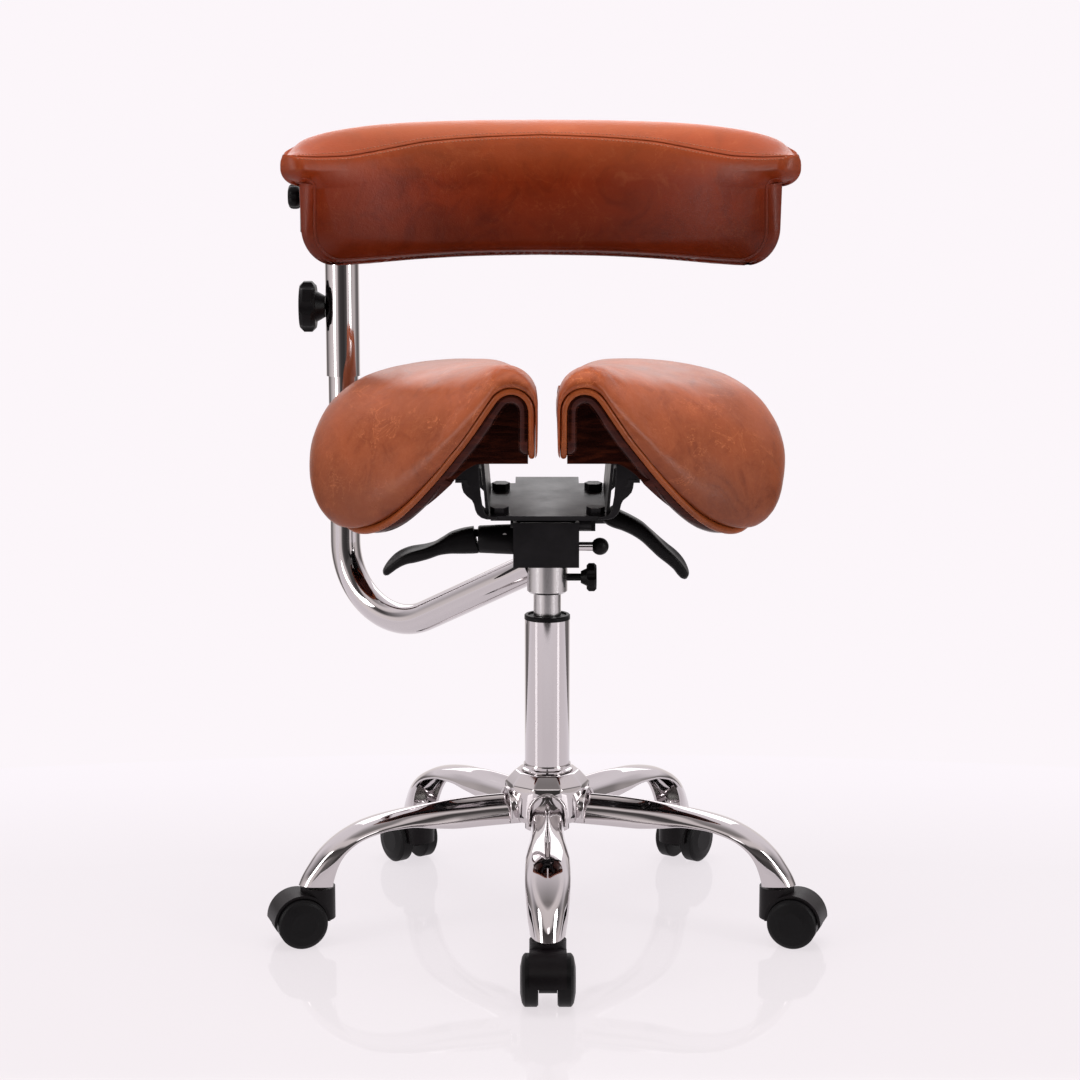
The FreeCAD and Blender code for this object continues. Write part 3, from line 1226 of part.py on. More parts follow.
sleeve_bore = sleeve_r - S.sleeve_steel
sleeve_turned = turned("sleeve_turned", [
    (sleeve_bore, S.sleeve_bottom), (sleeve_r, S.sleeve_bottom), (sleeve_r, S.sleeve_top),
    (0, S.sleeve_top), (0, S.sleeve_top - 3 * S.sleeve_steel),
    (sleeve_bore, S.sleeve_top - 3 * S.sleeve_steel)])
move(sleeve_turned, S.post_x, S.post_y, 0)
sleeve_stud_hole = cylinder("sleeve_stud_hole", S.stud_diameter + 2 * S.running_clearance,
                            S.sleeve_diameter, S.post_x - S.sleeve_diameter, S.post_y,
                            S.height_knob_z, ALONG_X)
keep(cut("sleeve_drilled", sleeve_turned, sleeve_stud_hole), "upper_sleeve")
liners = []
for number, low in enumerate((S.sleeve_bottom, S.height_knob_z - 2 * S.sleeve_bush_length)):
    outer = cylinder(f"liner_outer_{number}", 2 * sleeve_bore, S.sleeve_bush_length, S.post_x,
                     S.post_y, low)
    inner = cylinder(f"liner_inner_{number}", S.arm_tube + 2 * S.running_clearance,
                     S.sleeve_bush_length, S.post_x, S.post_y, low)
    liners.append(cut(f"liner_{number}", outer, inner))
keep(group("liners", *liners), "sleeve_bushes")


# Back pad: a curved cushion with an overhanging top ledge, on a back panel

PAD_HALF_ANGLE = 36.6
PAD_BODY_ANGLE = 34.2
# Shares: place along the half arc, drop of the back top, drop of the seam, lift of the bottom,
# thickness of the body
pad_shares = [
    (-1.00, 0.62, 0.96, 0.55, 0.70), (-0.95, 0.52, 1.00, 0.28, 0.85),
    (-0.80, 0.36, 1.10, 0.02, 1.00), (-0.50, 0.14, 0.72, -0.12, 1.00),
    (0.00, 0.00, 0.00, 0.00, 1.00), (0.50, 0.14, 0.72, -0.12, 1.00),
    (0.80, 0.36, 1.10, 0.02, 1.00), (0.95, 0.52, 1.00, 0.28, 0.85),
    (1.00, 0.62, 0.96, 0.55, 0.70)]


pad_back = float(S.pad_plan_radius + S.pad_depth)
panel_back = pad_back + float(S.pad_panel)
pad_bottom = float(S.pad_top - S.pad_height)
post_across = float(S.post_x - S.pad_centre_x)
pad_centre_y = float(S.post_y - S.pad_standoff) - math.sqrt(panel_back ** 2 - post_across ** 2)


def pad_point(turn, radius, z):
    return Vector(float(S.pad_centre_x) + radius * math.sin(turn),
                  pad_centre_y + radius * math.cos(turn), z)


def closed_wire(points, bulges):
    """A closed wire of shallow arcs; each bulge is a share of its chord, to the left."""
    edges = []
    count = len(points)
    for index, bulge in enumerate(bulges):
        start = points[index]
        end = points[(index + 1) % count]
        middle = (start[0], (start[1][0] + end[1][0]) / 2 - (end[1][1] - start[1][1]) * bulge,
                  (start[1][1] + end[1][1]) / 2 + (end[1][0] - start[1][0]) * bulge)
        ends = [pad_point(start[0], *start[1]), pad_point(end[0], *end[1])]
        if bulge:
            edges.append(Part.Arc(ends[0], pad_point(*middle), ends[1]).toShape())
        else:
            edges.append(Part.LineSegment(*ends).toShape())
    return Part.Wire(edges)


def pad_section(shares, ledge):
    place, top_drop, seam_drop, bottom_lift, thick = shares
    turn = math.radians((PAD_HALF_ANGLE if ledge else PAD_BODY_ANGLE) * place)
    front = float(S.pad_plan_radius)
    back = pad_back - float(S.soft_clearance)
    drop = float(S.pad_seam_drop)
    top = float(S.pad_top) - drop * top_drop
    seam = float(S.pad_top) - drop - drop * seam_drop
    lip = float(S.pad_lip)
    bottom = pad_bottom + 2 * lip * bottom_lift
    if ledge:
        corners = [(front, seam), (back, top), (back, top - lip), (front + lip / 4, seam - lip)]
        bulge_shares = (0.05, 0, 0, 0.2)
    else:
        nose = back - float(S.pad_depth) * thick
        tuck_share = 0.6
        corners = [(nose, seam - lip / 2), (back, top - lip / 2), (back, bottom),
                   (nose + lip * tuck_share, bottom)]
        bulge_shares = (0, 0, -0.04, 0.05)
    return closed_wire([(turn, corner) for corner in corners], bulge_shares)


def ring_sector(inner, outer, half_angle, bottom, top):
    """A curved slab about the plan centre of the pad."""
    turn = math.radians(half_angle)
    corners = [pad_point(-turn, inner, bottom), pad_point(turn, inner, bottom),
               pad_point(turn, outer, bottom), pad_point(-turn, outer, bottom)]
    wire = Part.Wire([
        Part.Arc(corners[0], pad_point(0, inner, bottom), corners[1]).toShape(),
        Part.LineSegment(corners[1], corners[2]).toShape(),
        Part.Arc(corners[2], pad_point(0, outer, bottom), corners[3]).toShape(),
        Part.LineSegment(corners[3], corners[0]).toShape()])
    return Part.Face(wire).extrude(Vector(0, 0, top - bottom))


def pad_cushion():
    ledge = Part.makeLoft([pad_section(shares, True) for shares in pad_shares], True, False)
    body = Part.makeLoft([pad_section(shares, False) for shares in pad_shares], True, False)
    return ledge.fuse(body)


def ring_sector(inner, outer, half_angle, bottom, top):
    """A curved slab about the plan centre of the pad."""
    turn = math.radians(half_angle)
    corners = [pad_point(-turn, inner, bottom), pad_point(turn, inner, bottom),
               pad_point(turn, outer, bottom), pad_point(-turn, outer, bottom)]
    wire = Part.Wire([
        Part.Arc(corners[0], pad_point(0, inner, bottom), corners[1]).toShape(),
        Part.LineSegment(corners[1], corners[2]).toShape(),
        Part.Arc(corners[2], pad_point(0, outer, bottom), corners[3]).toShape(),
        Part.LineSegment(corners[3], corners[0]).toShape()])
    return Part.Face(wire).extrude(Vector(0, 0, top - bottom))


def panel_solid():
    """The back panel: a curved board with rounded lower corners."""
    lip = float(S.pad_lip)
    slab = ring_sector(pad_back, panel_back, PAD_BODY_ANGLE, pad_bottom - lip / 8,
                       float(S.pad_top) - lip / 2)
    corner_edges = [edge for edge in slab.Edges
                    if edge.BoundBox.ZLength < float(S.running_clearance)
                    and edge.Length < 2 * float(S.pad_panel)]
    return slab.makeFillet(lip, corner_edges)


panel = panel_solid()
plate_angle = math.asin(post_across / pad_back)
plate_turn = Rotation(Vector(0, 0, 1), -math.degrees(plate_angle))
plate_centre = pad_point(plate_angle, panel_back, float(pad_knob_z))


def on_plate(across, out, z):
    """A place on the mounting plate: along it, out of it to the rear, and height."""
    return plate_centre + plate_turn.multVec(Vector(across, out, 0)) + Vector(0, 0, z)


def pad_bracket():
    """Clamp ring round the sleeve with a curved plate that is screwed to the back panel."""
    half_turn = math.degrees(float(S.bracket_plate_width) / 2 / panel_back)
    low = float(pad_knob_z) - float(S.bracket_plate_height) / 2
    steel = float(S.plate_steel)
    plate = ring_sector(panel_back, panel_back + steel, half_turn, low,
                        low + float(S.bracket_plate_height))
    centre = Vector(float(S.pad_centre_x), pad_centre_y, 0)
    plate.rotate(centre, Vector(0, 0, 1), -math.degrees(plate_angle))
    ring_centre = Vector(float(S.post_x), float(S.post_y), float(S.clamp_ring_bottom))
    ring = Part.makeCylinder(float(ring_r), float(S.clamp_ring_height), ring_centre)
    bracket = plate.fuse(ring)
    way = (plate_centre - ring_centre)
    way.z = 0
    gap = way.Length
    web = Part.makeBox(float(sleeve_r), gap, float(S.clamp_ring_height),
                       Vector(-float(sleeve_r) / 2, 0, 0))
    web.Placement = Placement(ring_centre, Rotation(Vector(0, 1, 0), way))
    bracket = bracket.fuse(web)
    inner_slab = ring_sector(panel_back - 2 * steel, panel_back, 2 * half_turn, low,
                             low + float(S.bracket_plate_height))
    inner_slab.rotate(centre, Vector(0, 0, 1), -math.degrees(plate_angle))
    bracket = bracket.cut(inner_slab)
    bore = Part.makeCylinder(float(sleeve_r + S.running_clearance), 3 * float(S.clamp_ring_height),
                             ring_centre - Vector(0, 0, float(S.clamp_ring_height)))
    stud = Part.makeCylinder(float(S.stud_diameter) / 2 + float(S.running_clearance),
                             float(S.clamp_ring), Vector(float(S.post_x), float(S.post_y),
                                                         float(pad_knob_z)), Vector(-1, 0, 0))
    return bracket.cut(bore).cut(stud)


bracket_shape = pad_bracket()
screw_x = float(S.bracket_plate_width) / 2 - float(S.pad_screw_head)
screw_z = float(S.bracket_plate_height) / 2 - float(S.pad_screw_head)
pad_screws = []
for across in (-screw_x, screw_x):
    for height in (-screw_z, screw_z):
        sag = panel_back - math.sqrt(panel_back ** 2 - across ** 2)
        base = on_plate(across, float(S.plate_steel) - sag, height)
        outward = plate_turn.multVec(Vector(across / panel_back, 1, 0)).normalize()
        shank = Part.makeCylinder(float(S.pad_screw) / 2,
                                  3 * float(S.plate_steel) + float(S.screw_head_height) / 2,
                                  base - outward * (3 * float(S.plate_steel)), outward)
        cap = Part.makeCone(float(S.pad_screw_head) / 2, float(S.pad_screw_head) / 3,
                            float(S.screw_head_height), base, outward)
        bracket_shape = bracket_shape.cut(shank)
        panel = panel.cut(shank)
        pad_screws.append(shank.fuse(cap).cut(Part.makeCylinder(
            float(S.pad_screw) / 4, float(S.screw_head_height),
            base + outward * (float(S.screw_head_height) / 2), outward)))
feature("pad_bracket", bracket_shape)
feature("pad_back_panel", panel)
feature("pad_cushion", pad_cushion())
feature("pad_screws", Part.makeCompound(pad_screws))


# Check every object, then write each sub-part

doc.recompute()
for obj in doc.Objects:
    if "Invalid" in obj.State or "Error" in obj.State:
        raise RuntimeError(f"{obj.Label} failed: {obj.State}")
for obj in kept:
    if obj.Shape.isNull() or not obj.Shape.isValid():
        raise RuntimeError(f"{obj.Label} has no valid shape")

os.makedirs("parts", exist_ok=True)
for obj in kept:
    obj.Shape.exportStep(os.path.join("parts", obj.Label + ".step"))
print(len(kept), "sub-parts written")
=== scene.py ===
import math

import bpy
import bmesh
import numpy as np
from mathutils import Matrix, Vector, noise
from mathutils.bvhtree import BVHTree


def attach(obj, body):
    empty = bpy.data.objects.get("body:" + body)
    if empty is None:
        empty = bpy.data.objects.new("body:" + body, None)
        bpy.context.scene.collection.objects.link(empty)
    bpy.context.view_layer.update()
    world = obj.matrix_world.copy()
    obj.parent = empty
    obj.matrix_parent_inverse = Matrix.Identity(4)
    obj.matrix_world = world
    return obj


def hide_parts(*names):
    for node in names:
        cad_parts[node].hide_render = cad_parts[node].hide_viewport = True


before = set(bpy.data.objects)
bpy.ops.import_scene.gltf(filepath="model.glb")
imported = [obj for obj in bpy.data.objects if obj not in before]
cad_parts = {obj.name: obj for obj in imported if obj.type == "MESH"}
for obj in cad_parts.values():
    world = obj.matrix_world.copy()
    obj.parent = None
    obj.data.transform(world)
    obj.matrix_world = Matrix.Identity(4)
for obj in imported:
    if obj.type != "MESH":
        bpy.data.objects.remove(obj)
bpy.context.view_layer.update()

# Ergonomic stool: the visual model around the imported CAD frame. Metres, +Z up, front towards -Y.

MM = 0.001
scene = bpy.context.scene


# Mesh helpers

def mesh_object(name, points, faces, material):
    mesh = bpy.data.meshes.new(name)
    mesh.from_pydata([tuple(point) for point in points], [], faces)
    mesh.validate()
    mesh.update()
    mesh.shade_smooth()
    mesh.materials.append(material)
    obj = bpy.data.objects.new(name, mesh)
    scene.collection.objects.link(obj)
    return obj


def grid_faces(rows, columns, wrap_rows=False, wrap_columns=False, start=0, flip=False):
    faces = []
    for row in range(rows if wrap_rows else rows - 1):
        below = (row + 1) % rows
        for column in range(columns if wrap_columns else columns - 1):
            right = (column + 1) % columns
            face = (start + row * columns + column, start + row * columns + right,
                    start + below * columns + right, start + below * columns + column)
            faces.append(face[::-1] if flip else face)
    return faces


def closed_rings(rings, start=0):
    """Faces of a tube of rings with both ends closed."""
    count, sides = len(rings), len(rings[0])
    faces = grid_faces(count, sides, wrap_columns=True, start=start)
    faces.append(tuple(range(start, start + sides)))
    faces.append(tuple(range(start + (count - 1) * sides, start + count * sides)))
    return faces


def recalculate(obj, smooth=True):
    """Face the normals of a closed mesh outward."""
    work = bmesh.new()
    work.from_mesh(obj.data)
    bmesh.ops.remove_doubles(work, verts=work.verts, dist=1e-6)
    bmesh.ops.recalc_face_normals(work, faces=work.faces)
    work.to_mesh(obj.data)
    work.free()
    if smooth:
        obj.data.shade_smooth()
    else:
        obj.data.shade_flat()
    return obj


def soft_edge(obj, width, angle, segments=2, harden=True):
    """Round the edges of an object that are sharper than an angle in degrees."""
    edge = obj.modifiers.new("edge", "BEVEL")
    edge.width = width * MM
    edge.segments = segments
    edge.limit_method = "ANGLE"
    edge.angle_limit = math.radians(angle)
    edge.harden_normals = harden


def hermite(places, values, at):
    """A smooth curve through a table: cubic between rows, without overshoot."""
    places = np.asarray(places, float)
    values = np.asarray(values, float)
    at = np.asarray(at, float)
    steps = np.diff(places)
    slopes = np.diff(values) / steps
    tangents = np.empty_like(values)
    tangents[0], tangents[-1] = slopes[0], slopes[-1]
    left, right = slopes[:-1], slopes[1:]
    agree = left * right > 0
    tangents[1:-1] = np.where(agree, 2 * left * right / np.where(agree, left + right, 1), 0)
    index = np.clip(np.searchsorted(places, at, side="right") - 1, 0, len(steps) - 1)
    t = (at - places[index]) / steps[index]
    h = steps[index]
    return ((2 * t ** 3 - 3 * t ** 2 + 1) * values[index] + (t ** 3 - 2 * t ** 2 + t) * h * tangents[index]
            + (-2 * t ** 3 + 3 * t ** 2) * values[index + 1] + (t ** 3 - t ** 2) * h * tangents[index + 1])


def unit(rows):
    rows = np.asarray(rows, float)
    return rows / np.maximum(np.linalg.norm(rows, axis=-1, keepdims=True), 1e-12)


# Materials

def principled(name, color, roughness, metallic=0.0, **settings):
    material = bpy.data.materials.new(name)
    material.use_nodes = True
    nodes, links = material.node_tree.nodes, material.node_tree.links
    shader = nodes["Principled BSDF"]
    shader.inputs["Base Color"].default_value = (*color, 1)
    shader.inputs["Roughness"].default_value = roughness
    shader.inputs["Metallic"].default_value = metallic
    for key, value in settings.items():
        shader.inputs[key.replace("_", " ")].default_value = value
    return material, nodes, links, shader


def coordinates(nodes, links, scale=(1, 1, 1), rotation=(0, 0, 0)):
    source = nodes.new("ShaderNodeTexCoord")
    mapping = nodes.new("ShaderNodeMapping")
    mapping.inputs["Scale"].default_value = scale
    mapping.inputs["Rotation"].default_value = rotation
    links.new(source.outputs["Object"], mapping.inputs["Vector"])
    return mapping.outputs["Vector"]


def noise_node(nodes, links, vector, scale, detail=3.0, roughness=0.5, distortion=0.0):
    node = nodes.new("ShaderNodeTexNoise")
    node.inputs["Scale"].default_value = scale
    node.inputs["Detail"].default_value = detail
    node.inputs["Roughness"].default_value = roughness
    node.inputs["Distortion"].default_value = distortion
    links.new(vector, node.inputs["Vector"])
    return node.outputs["Fac"]


def ramp(nodes, links, factor, stops):
    node = nodes.new("ShaderNodeValToRGB")
    elements = node.color_ramp.elements
    while len(elements) < len(stops):
        elements.new(0.5)
    for element, (place, color) in zip(elements, stops):
        element.position = place
        element.color = (*color, 1) if len(color) == 3 else color
    links.new(factor, node.inputs["Fac"])
    return node.outputs["Color"]


def math_node(nodes, links, operation, first, second):
    node = nodes.new("ShaderNodeMath")
    node.operation = operation
    for socket, value in zip(node.inputs, (first, second)):
        if isinstance(value, float):
            socket.default_value = value
        else:
            links.new(value, socket)
    return node.outputs[0]


def map_range(nodes, links, value, low, high):
    node = nodes.new("ShaderNodeMapRange")
    node.inputs["From Min"].default_value = low
    node.inputs["From Max"].default_value = high
    links.new(value, node.inputs["Value"])
    return node.outputs["Result"]


def grey(value):
    return (value, value, value)


def warm_grey(value):
    return (value, value * 0.93, value * 0.92)


def mix(nodes, links, factor, first, second, blend="MIX"):
    node = nodes.new("ShaderNodeMix")
    node.data_type = "RGBA"
    node.blend_type = blend
    for socket, value in ((node.inputs["Factor"], factor), (node.inputs["A"], first),
                          (node.inputs["B"], second)):
        if isinstance(value, (int, float)):
            socket.default_value = value
        elif isinstance(value, tuple):
            socket.default_value = (*value, 1)
        else:
            links.new(value, socket)
    return node.outputs["Result"]


def bump(nodes, links, shader, layers):
    """Stack bump layers of (height, strength, distance) under a shader."""
    normal = None
    for height, strength, distance in layers:
        node = nodes.new("ShaderNodeBump")
        node.inputs["Strength"].default_value = strength
        node.inputs["Distance"].default_value = distance
        links.new(height, node.inputs["Height"])
        if normal is not None:
            links.new(normal, node.inputs["Normal"])
        normal = node.outputs["Normal"]
    links.new(normal, shader.inputs["Normal"])


def pull_up_leather(name, light, middle, dark, gloss, painted_height_shade, wear=1.0, scale=1.0, painted_top_sheen=()):
    """Waxed leather: cloudy tone, pale scuffs and creases, a fine pebble grain; painted shade low down and
    painted light high up by height, and a painted sheen by height where one is given.
    """
    material, nodes, links, shader = principled(name, middle, 0.36, Specular_IOR_Level=gloss)
    scuff_and_sheen_tone = tuple(channel * 1.3 for channel in light)
    vector = coordinates(nodes, links)
    broad = noise_node(nodes, links, vector, 9 * scale, 3, 0.55, 0.4)
    clouds = noise_node(nodes, links, vector, 24 * scale, 6, 0.66, 1.0)
    base = ramp(nodes, links, clouds, [(0.34, dark), (0.50, middle), (0.60, middle), (0.80, light)])
    toned = mix(nodes, links, 0.5, base, middle)
    shade = ramp(nodes, links, broad, [(0.36, grey(0.80)), (0.62, grey(1.10))])
    base = mix(nodes, links, 1.0, toned, shade, "MULTIPLY")
    patches = noise_node(nodes, links, vector, 13 * scale, 3, 0.6, 0.5)
    worn = ramp(nodes, links, patches, [(0.47, grey(0.0)), (0.60, grey(1.0))])
    fine = noise_node(nodes, links, vector, 130 * scale, 5, 0.7, 0.8)
    base = mix(nodes, links, ramp(nodes, links, fine, [(0.45, grey(0.0)), (0.80, grey(0.35 * wear))]), base,
               light)
    for stretch, turn, low, strength in (((20, 44, 30), (0.3, 0.5, 0.7), 0.57, 0.75),
                                         ((46, 16, 28), (0.9, 0.2, 0.1), 0.58, 0.7),
                                         ((24, 26, 60), (0.2, 1.0, 0.5), 0.59, 0.6)):
        source = coordinates(nodes, links, stretch, turn)
        scuffs = noise_node(nodes, links, source, 0.55 * scale, 4, 0.62, 2.4)
        mask = ramp(nodes, links, scuffs, [(low, grey(0.0)), (low + 0.008, grey(strength * wear)),
                                           (low + 0.02, grey(0.0))])
        base = mix(nodes, links, mix(nodes, links, 1.0, mask, worn, "MULTIPLY"), base, scuff_and_sheen_tone)
    # Painted shade and light by height: the colour is darkened low down and brightened high up by a tone
    # that rises with height.
    split = nodes.new("ShaderNodeSeparateXYZ")
    links.new(vector, split.inputs["Vector"])
    foot, head = painted_height_shade[0][0], painted_height_shade[-1][0]
    rise = map_range(nodes, links, split.outputs["Z"], foot, head)
    painted_height_tone = ramp(nodes, links, rise,
                [((height - foot) / (head - foot), grey(tone)) for height, tone in painted_height_shade])
    base = mix(nodes, links, 1.0, base, painted_height_tone, "MULTIPLY")
    # Painted sheen: high up, the colour is mixed towards the pale scuff tone by height.
    if painted_top_sheen:
        painted_sheen_share = ramp(nodes, links, split.outputs["Z"], [(height, grey(share)) for height, share in painted_top_sheen])
        base = mix(nodes, links, painted_sheen_share, base, scuff_and_sheen_tone)
    links.new(base, shader.inputs["Base Color"])
    rough = ramp(nodes, links, clouds, [(0.3, grey(0.30)), (0.75, grey(0.42))])
    links.new(rough, shader.inputs["Roughness"])
    cells = nodes.new("ShaderNodeTexVoronoi")
    cells.inputs["Scale"].default_value = 620
    links.new(vector, cells.inputs["Vector"])
    wrinkle_source = coordinates(nodes, links, (40, 95, 60), (0.2, 0.1, 0.6))
    wrinkles = noise_node(nodes, links, wrinkle_source, 1.6, 5, 0.6, 1.8)
    wrinkle_lines = ramp(nodes, links, wrinkles, [(0.44, grey(0.0)), (0.5, grey(1.0)), (0.56, grey(0.0))])
    bump(nodes, links, shader, [
        (cells.outputs["Distance"], 0.16, 0.0003),
        (noise_node(nodes, links, vector, 210, 4, 0.6), 0.22, 0.0006),
        (wrinkle_lines, 0.10, 0.0006)])
    return material


# The height tables below paint shade on the lower parts (and light on the pad's top); the pad's pale table
# paints a sheen on its top ledge.
leather = pull_up_leather("saddle_leather", (0.56, 0.165, 0.062), (0.40, 0.086, 0.026),
                          (0.205, 0.029, 0.005), 0.32, [(0.445, 0.68), (0.49, 0.92), (0.56, 1.0)], 0.85)
pad_leather = pull_up_leather("pad_leather", (0.48, 0.13, 0.045), (0.27, 0.028, 0.003),
                              (0.14, 0.011, 0.001), 0.26,
                              [(0.665, 0.50), (0.70, 0.60), (0.745, 0.80), (0.79, 1.06), (0.825, 1.22)],
                              0.22,
                              painted_top_sheen=[(0.755, 0.0), (0.782, 0.20), (0.798, 0.26), (0.814, 0.52)])
band_leather = pull_up_leather("band_leather", (0.52, 0.145, 0.04), (0.37, 0.078, 0.016),
                               (0.24, 0.04, 0.008), 0.3, [(0.445, 0.85), (0.56, 1.0)], 0.5, 1.4)


def thread_material():
    material, nodes, links, shader = principled("thread", (0.42, 0.15, 0.07), 0.55)
    vector = coordinates(nodes, links)
    twist = noise_node(nodes, links, vector, 2600, 2)
    links.new(ramp(nodes, links, twist, [(0.3, (0.28, 0.085, 0.035)), (0.7, (0.55, 0.22, 0.12))]),
              shader.inputs["Base Color"])
    bump(nodes, links, shader, [(twist, 0.3, 0.0002)])
    return material


def mahogany():
    """Glossy lacquered shell with a dark red-brown figure."""
    material, nodes, links, shader = principled(
        "mahogany_shell", (0.02, 0.005, 0.003), 0.10, Coat_Weight=0.12, Coat_Roughness=0.02,
        Specular_IOR_Level=0.4, Specular_Tint=(0.8, 0.2, 0.16, 1))
    vector = coordinates(nodes, links, (18, 9, 120), (0.06, 0.0, 0.0))
    warp = noise_node(nodes, links, vector, 1.1, 6, 0.6, 1.0)
    figure = ramp(nodes, links, warp, [(0.3, (0.004, 0.0008, 0.0006)), (0.5, (0.016, 0.0035, 0.002)),
                                       (0.62, (0.045, 0.009, 0.004)), (0.78, (0.012, 0.0025, 0.0015))])
    links.new(figure, shader.inputs["Base Color"])
    fine = noise_node(nodes, links, coordinates(nodes, links, (300, 60, 900)), 1.0, 3)
    bump(nodes, links, shader, [(fine, 0.03, 0.0002)])
    return material


def chrome_like(name, color, roughness, spread, grain=None):
    """Polished or satin metal: faint smears in the gloss, and a drawn grain if one is given."""
    material, nodes, links, shader = principled(name, color, roughness, 1.0)
    vector = coordinates(nodes, links)
    smear = noise_node(nodes, links, vector, 22, 4, 0.6, 0.8)
    links.new(ramp(nodes, links, smear, [(0.25, grey(roughness)), (0.8, grey(roughness + spread))]),
              shader.inputs["Roughness"])
    if grain is None:
        dust = noise_node(nodes, links, vector, 900, 2)
        bump(nodes, links, shader, [(dust, 0.015, 0.0001)])
    else:
        lines = noise_node(nodes, links, coordinates(nodes, links, grain), 1.0, 3)
        bump(nodes, links, shader, [(lines, 0.12, 0.0001)])
    return material


chrome = chrome_like("polished_chrome", (0.60, 0.565, 0.575), 0.035, 0.045)
satin_steel = chrome_like("satin_steel", (0.56, 0.54, 0.545), 0.20, 0.10, (60, 60, 4200))
zinc = chrome_like("zinc_steel", (0.48, 0.47, 0.46), 0.30, 0.15)


def black_surface(name, color, roughness, spread, grain, strength, specular=0.28):
    """Moulded or painted surface: uneven gloss, a little colour variation, a fine grain."""
    material, nodes, links, shader = principled(name, color, roughness, Specular_IOR_Level=specular)
    vector = coordinates(nodes, links)
    wear = noise_node(nodes, links, vector, 30, 5, 0.65)
    links.new(ramp(nodes, links, wear, [(0.25, grey(roughness)), (0.8, grey(roughness + spread))]),
              shader.inputs["Roughness"])
    tone = tuple(min(1, channel * 2.1 + 0.002) for channel in color)
    links.new(ramp(nodes, links, wear, [(0.35, color), (0.85, tone)]), shader.inputs["Base Color"])
    bump(nodes, links, shader, [(noise_node(nodes, links, vector, grain, 3), strength, 0.0003)])
    return material


powder_coat = black_surface("black_powder_coat", (0.006, 0.005, 0.006), 0.30, 0.14, 1300, 0.22,
                            specular=0.24)
moulded_black = black_surface("moulded_black", (0.003, 0.0024, 0.0028), 0.32, 0.14, 1700, 0.12,
                              specular=0.12)
castor_black = black_surface("castor_black", (0.004, 0.0028, 0.0034), 0.34, 0.16, 1500, 0.12,
                             specular=0.16)
tread_black = black_surface("tread_black", (0.003, 0.0026, 0.003), 0.36, 0.2, 1100, 0.12,
                            specular=0.16)
nylon = black_surface("grey_nylon", (0.22, 0.215, 0.20), 0.5, 0.15, 900, 0.1)
thread = thread_material()
shell_gloss = mahogany()


# Seat halves: sizes in millimetres, drawn level and then pitched about the tilt axle

SEAT_PITCH = math.radians(4.5)
TILT_AXLE = Vector((0, -25, 419)) * MM
SEAT_FRONT, SEAT_LENGTH, SEAT_REACH = -99.0, 282.0, 222.0
SEAT_CREST, SEAT_FALL = 564.0, 155.0
CUSHION_RISE, CUSHION_EDGE = 32.0, 23.0
SHELL_WALL, BAND_THICK, CUSHION_WALL, LEATHER_FOOT = 18.5, 6.4, 9.4, 499.0
SHELL_BOTTOM, SHELL_HEEL = 492.0, 68.0
# Place, crest, round of shell and cushion, slope, reach, edge height, edge slope, thickness
STATIONS = np.array([
    (0.000, 1.00, 0.257, 0.309, 56, 0.391, 0.600, 52, 0.38, 0.60),
    (0.067, 0.985, 0.315, 0.327, 46, 0.504, 0.390, 58, 0.60, 0.75),
    (0.138, 0.95, 0.411, 0.372, 34, 0.650, 0.165, 68, 0.76, 0.90),
    (0.209, 0.90, 0.537, 0.452, 24, 0.770, 0.060, 78, 0.88, 1.00),
    (0.280, 0.86, 0.632, 0.539, 16, 0.863, 0.035, 86, 0.96, 1.00),
    (0.351, 0.83, 0.688, 0.621, 10, 0.930, 0.090, 92, 1.00, 1.00),
    (0.440, 0.80, 0.738, 0.724, 5, 0.968, 0.205, 95, 1.00, 1.00),
    (0.528, 0.78, 0.763, 0.800, 1, 0.976, 0.340, 95, 1.00, 1.00),
    (0.635, 0.77, 0.751, 0.865, -1, 0.935, 0.455, 92, 0.97, 0.95),
    (0.741, 0.763, 0.699, 0.917, -3, 0.840, 0.535, 88, 0.91, 0.90),
    (0.848, 0.745, 0.626, 0.913, -3, 0.690, 0.585, 82, 0.81, 0.85),
    (0.936, 0.70, 0.575, 0.900, -2, 0.535, 0.580, 72, 0.66, 0.75),
    (1.000, 0.65, 0.424, 0.847, 4, 0.400, 0.570, 60, 0.50, 0.60)])


def clustered(count, power=1.9):
    """Places from 0 to 1, closer together at both ends."""
    even = np.linspace(0, 1, count)
    return even ** power * (1 - even) + (1 - (1 - even) ** power) * even


def heading(angle):
    return np.array([math.cos(angle), -math.sin(angle)])


def two_arcs(start, first, end, last):
    """The joint and the two corners of a pair of tangent arcs between two headings."""
    chord = end - start
    both = 2 * (1 - first @ last)
    reach = chord @ (first + last)
    step = (math.sqrt(reach ** 2 + both * (chord @ chord)) - reach) / both
    corners = start + step * first, end - step * last
    return (corners[0] + corners[1]) / 2, corners


def arc_points(start, corner, end, count):
    """Points of the arc that touches start-corner and corner-end."""
    middle = (start + end) / 2
    half = np.linalg.norm(end - start) / 2
    depth = np.linalg.norm(corner - middle)
    if depth < 1e-6:
        return start + (end - start) * np.linspace(0, 1, count)[:, None]
    turn = math.atan2(depth, half)
    radius = half / math.sin(turn)
    inward = (middle - corner) / depth
    centre = middle + inward * radius * math.cos(turn)
    angles = np.linspace(-turn, turn, count)[:, None]
    side = (end - start) / (2 * half)
    return centre + radius * (np.sin(angles) * side - np.cos(angles) * inward)


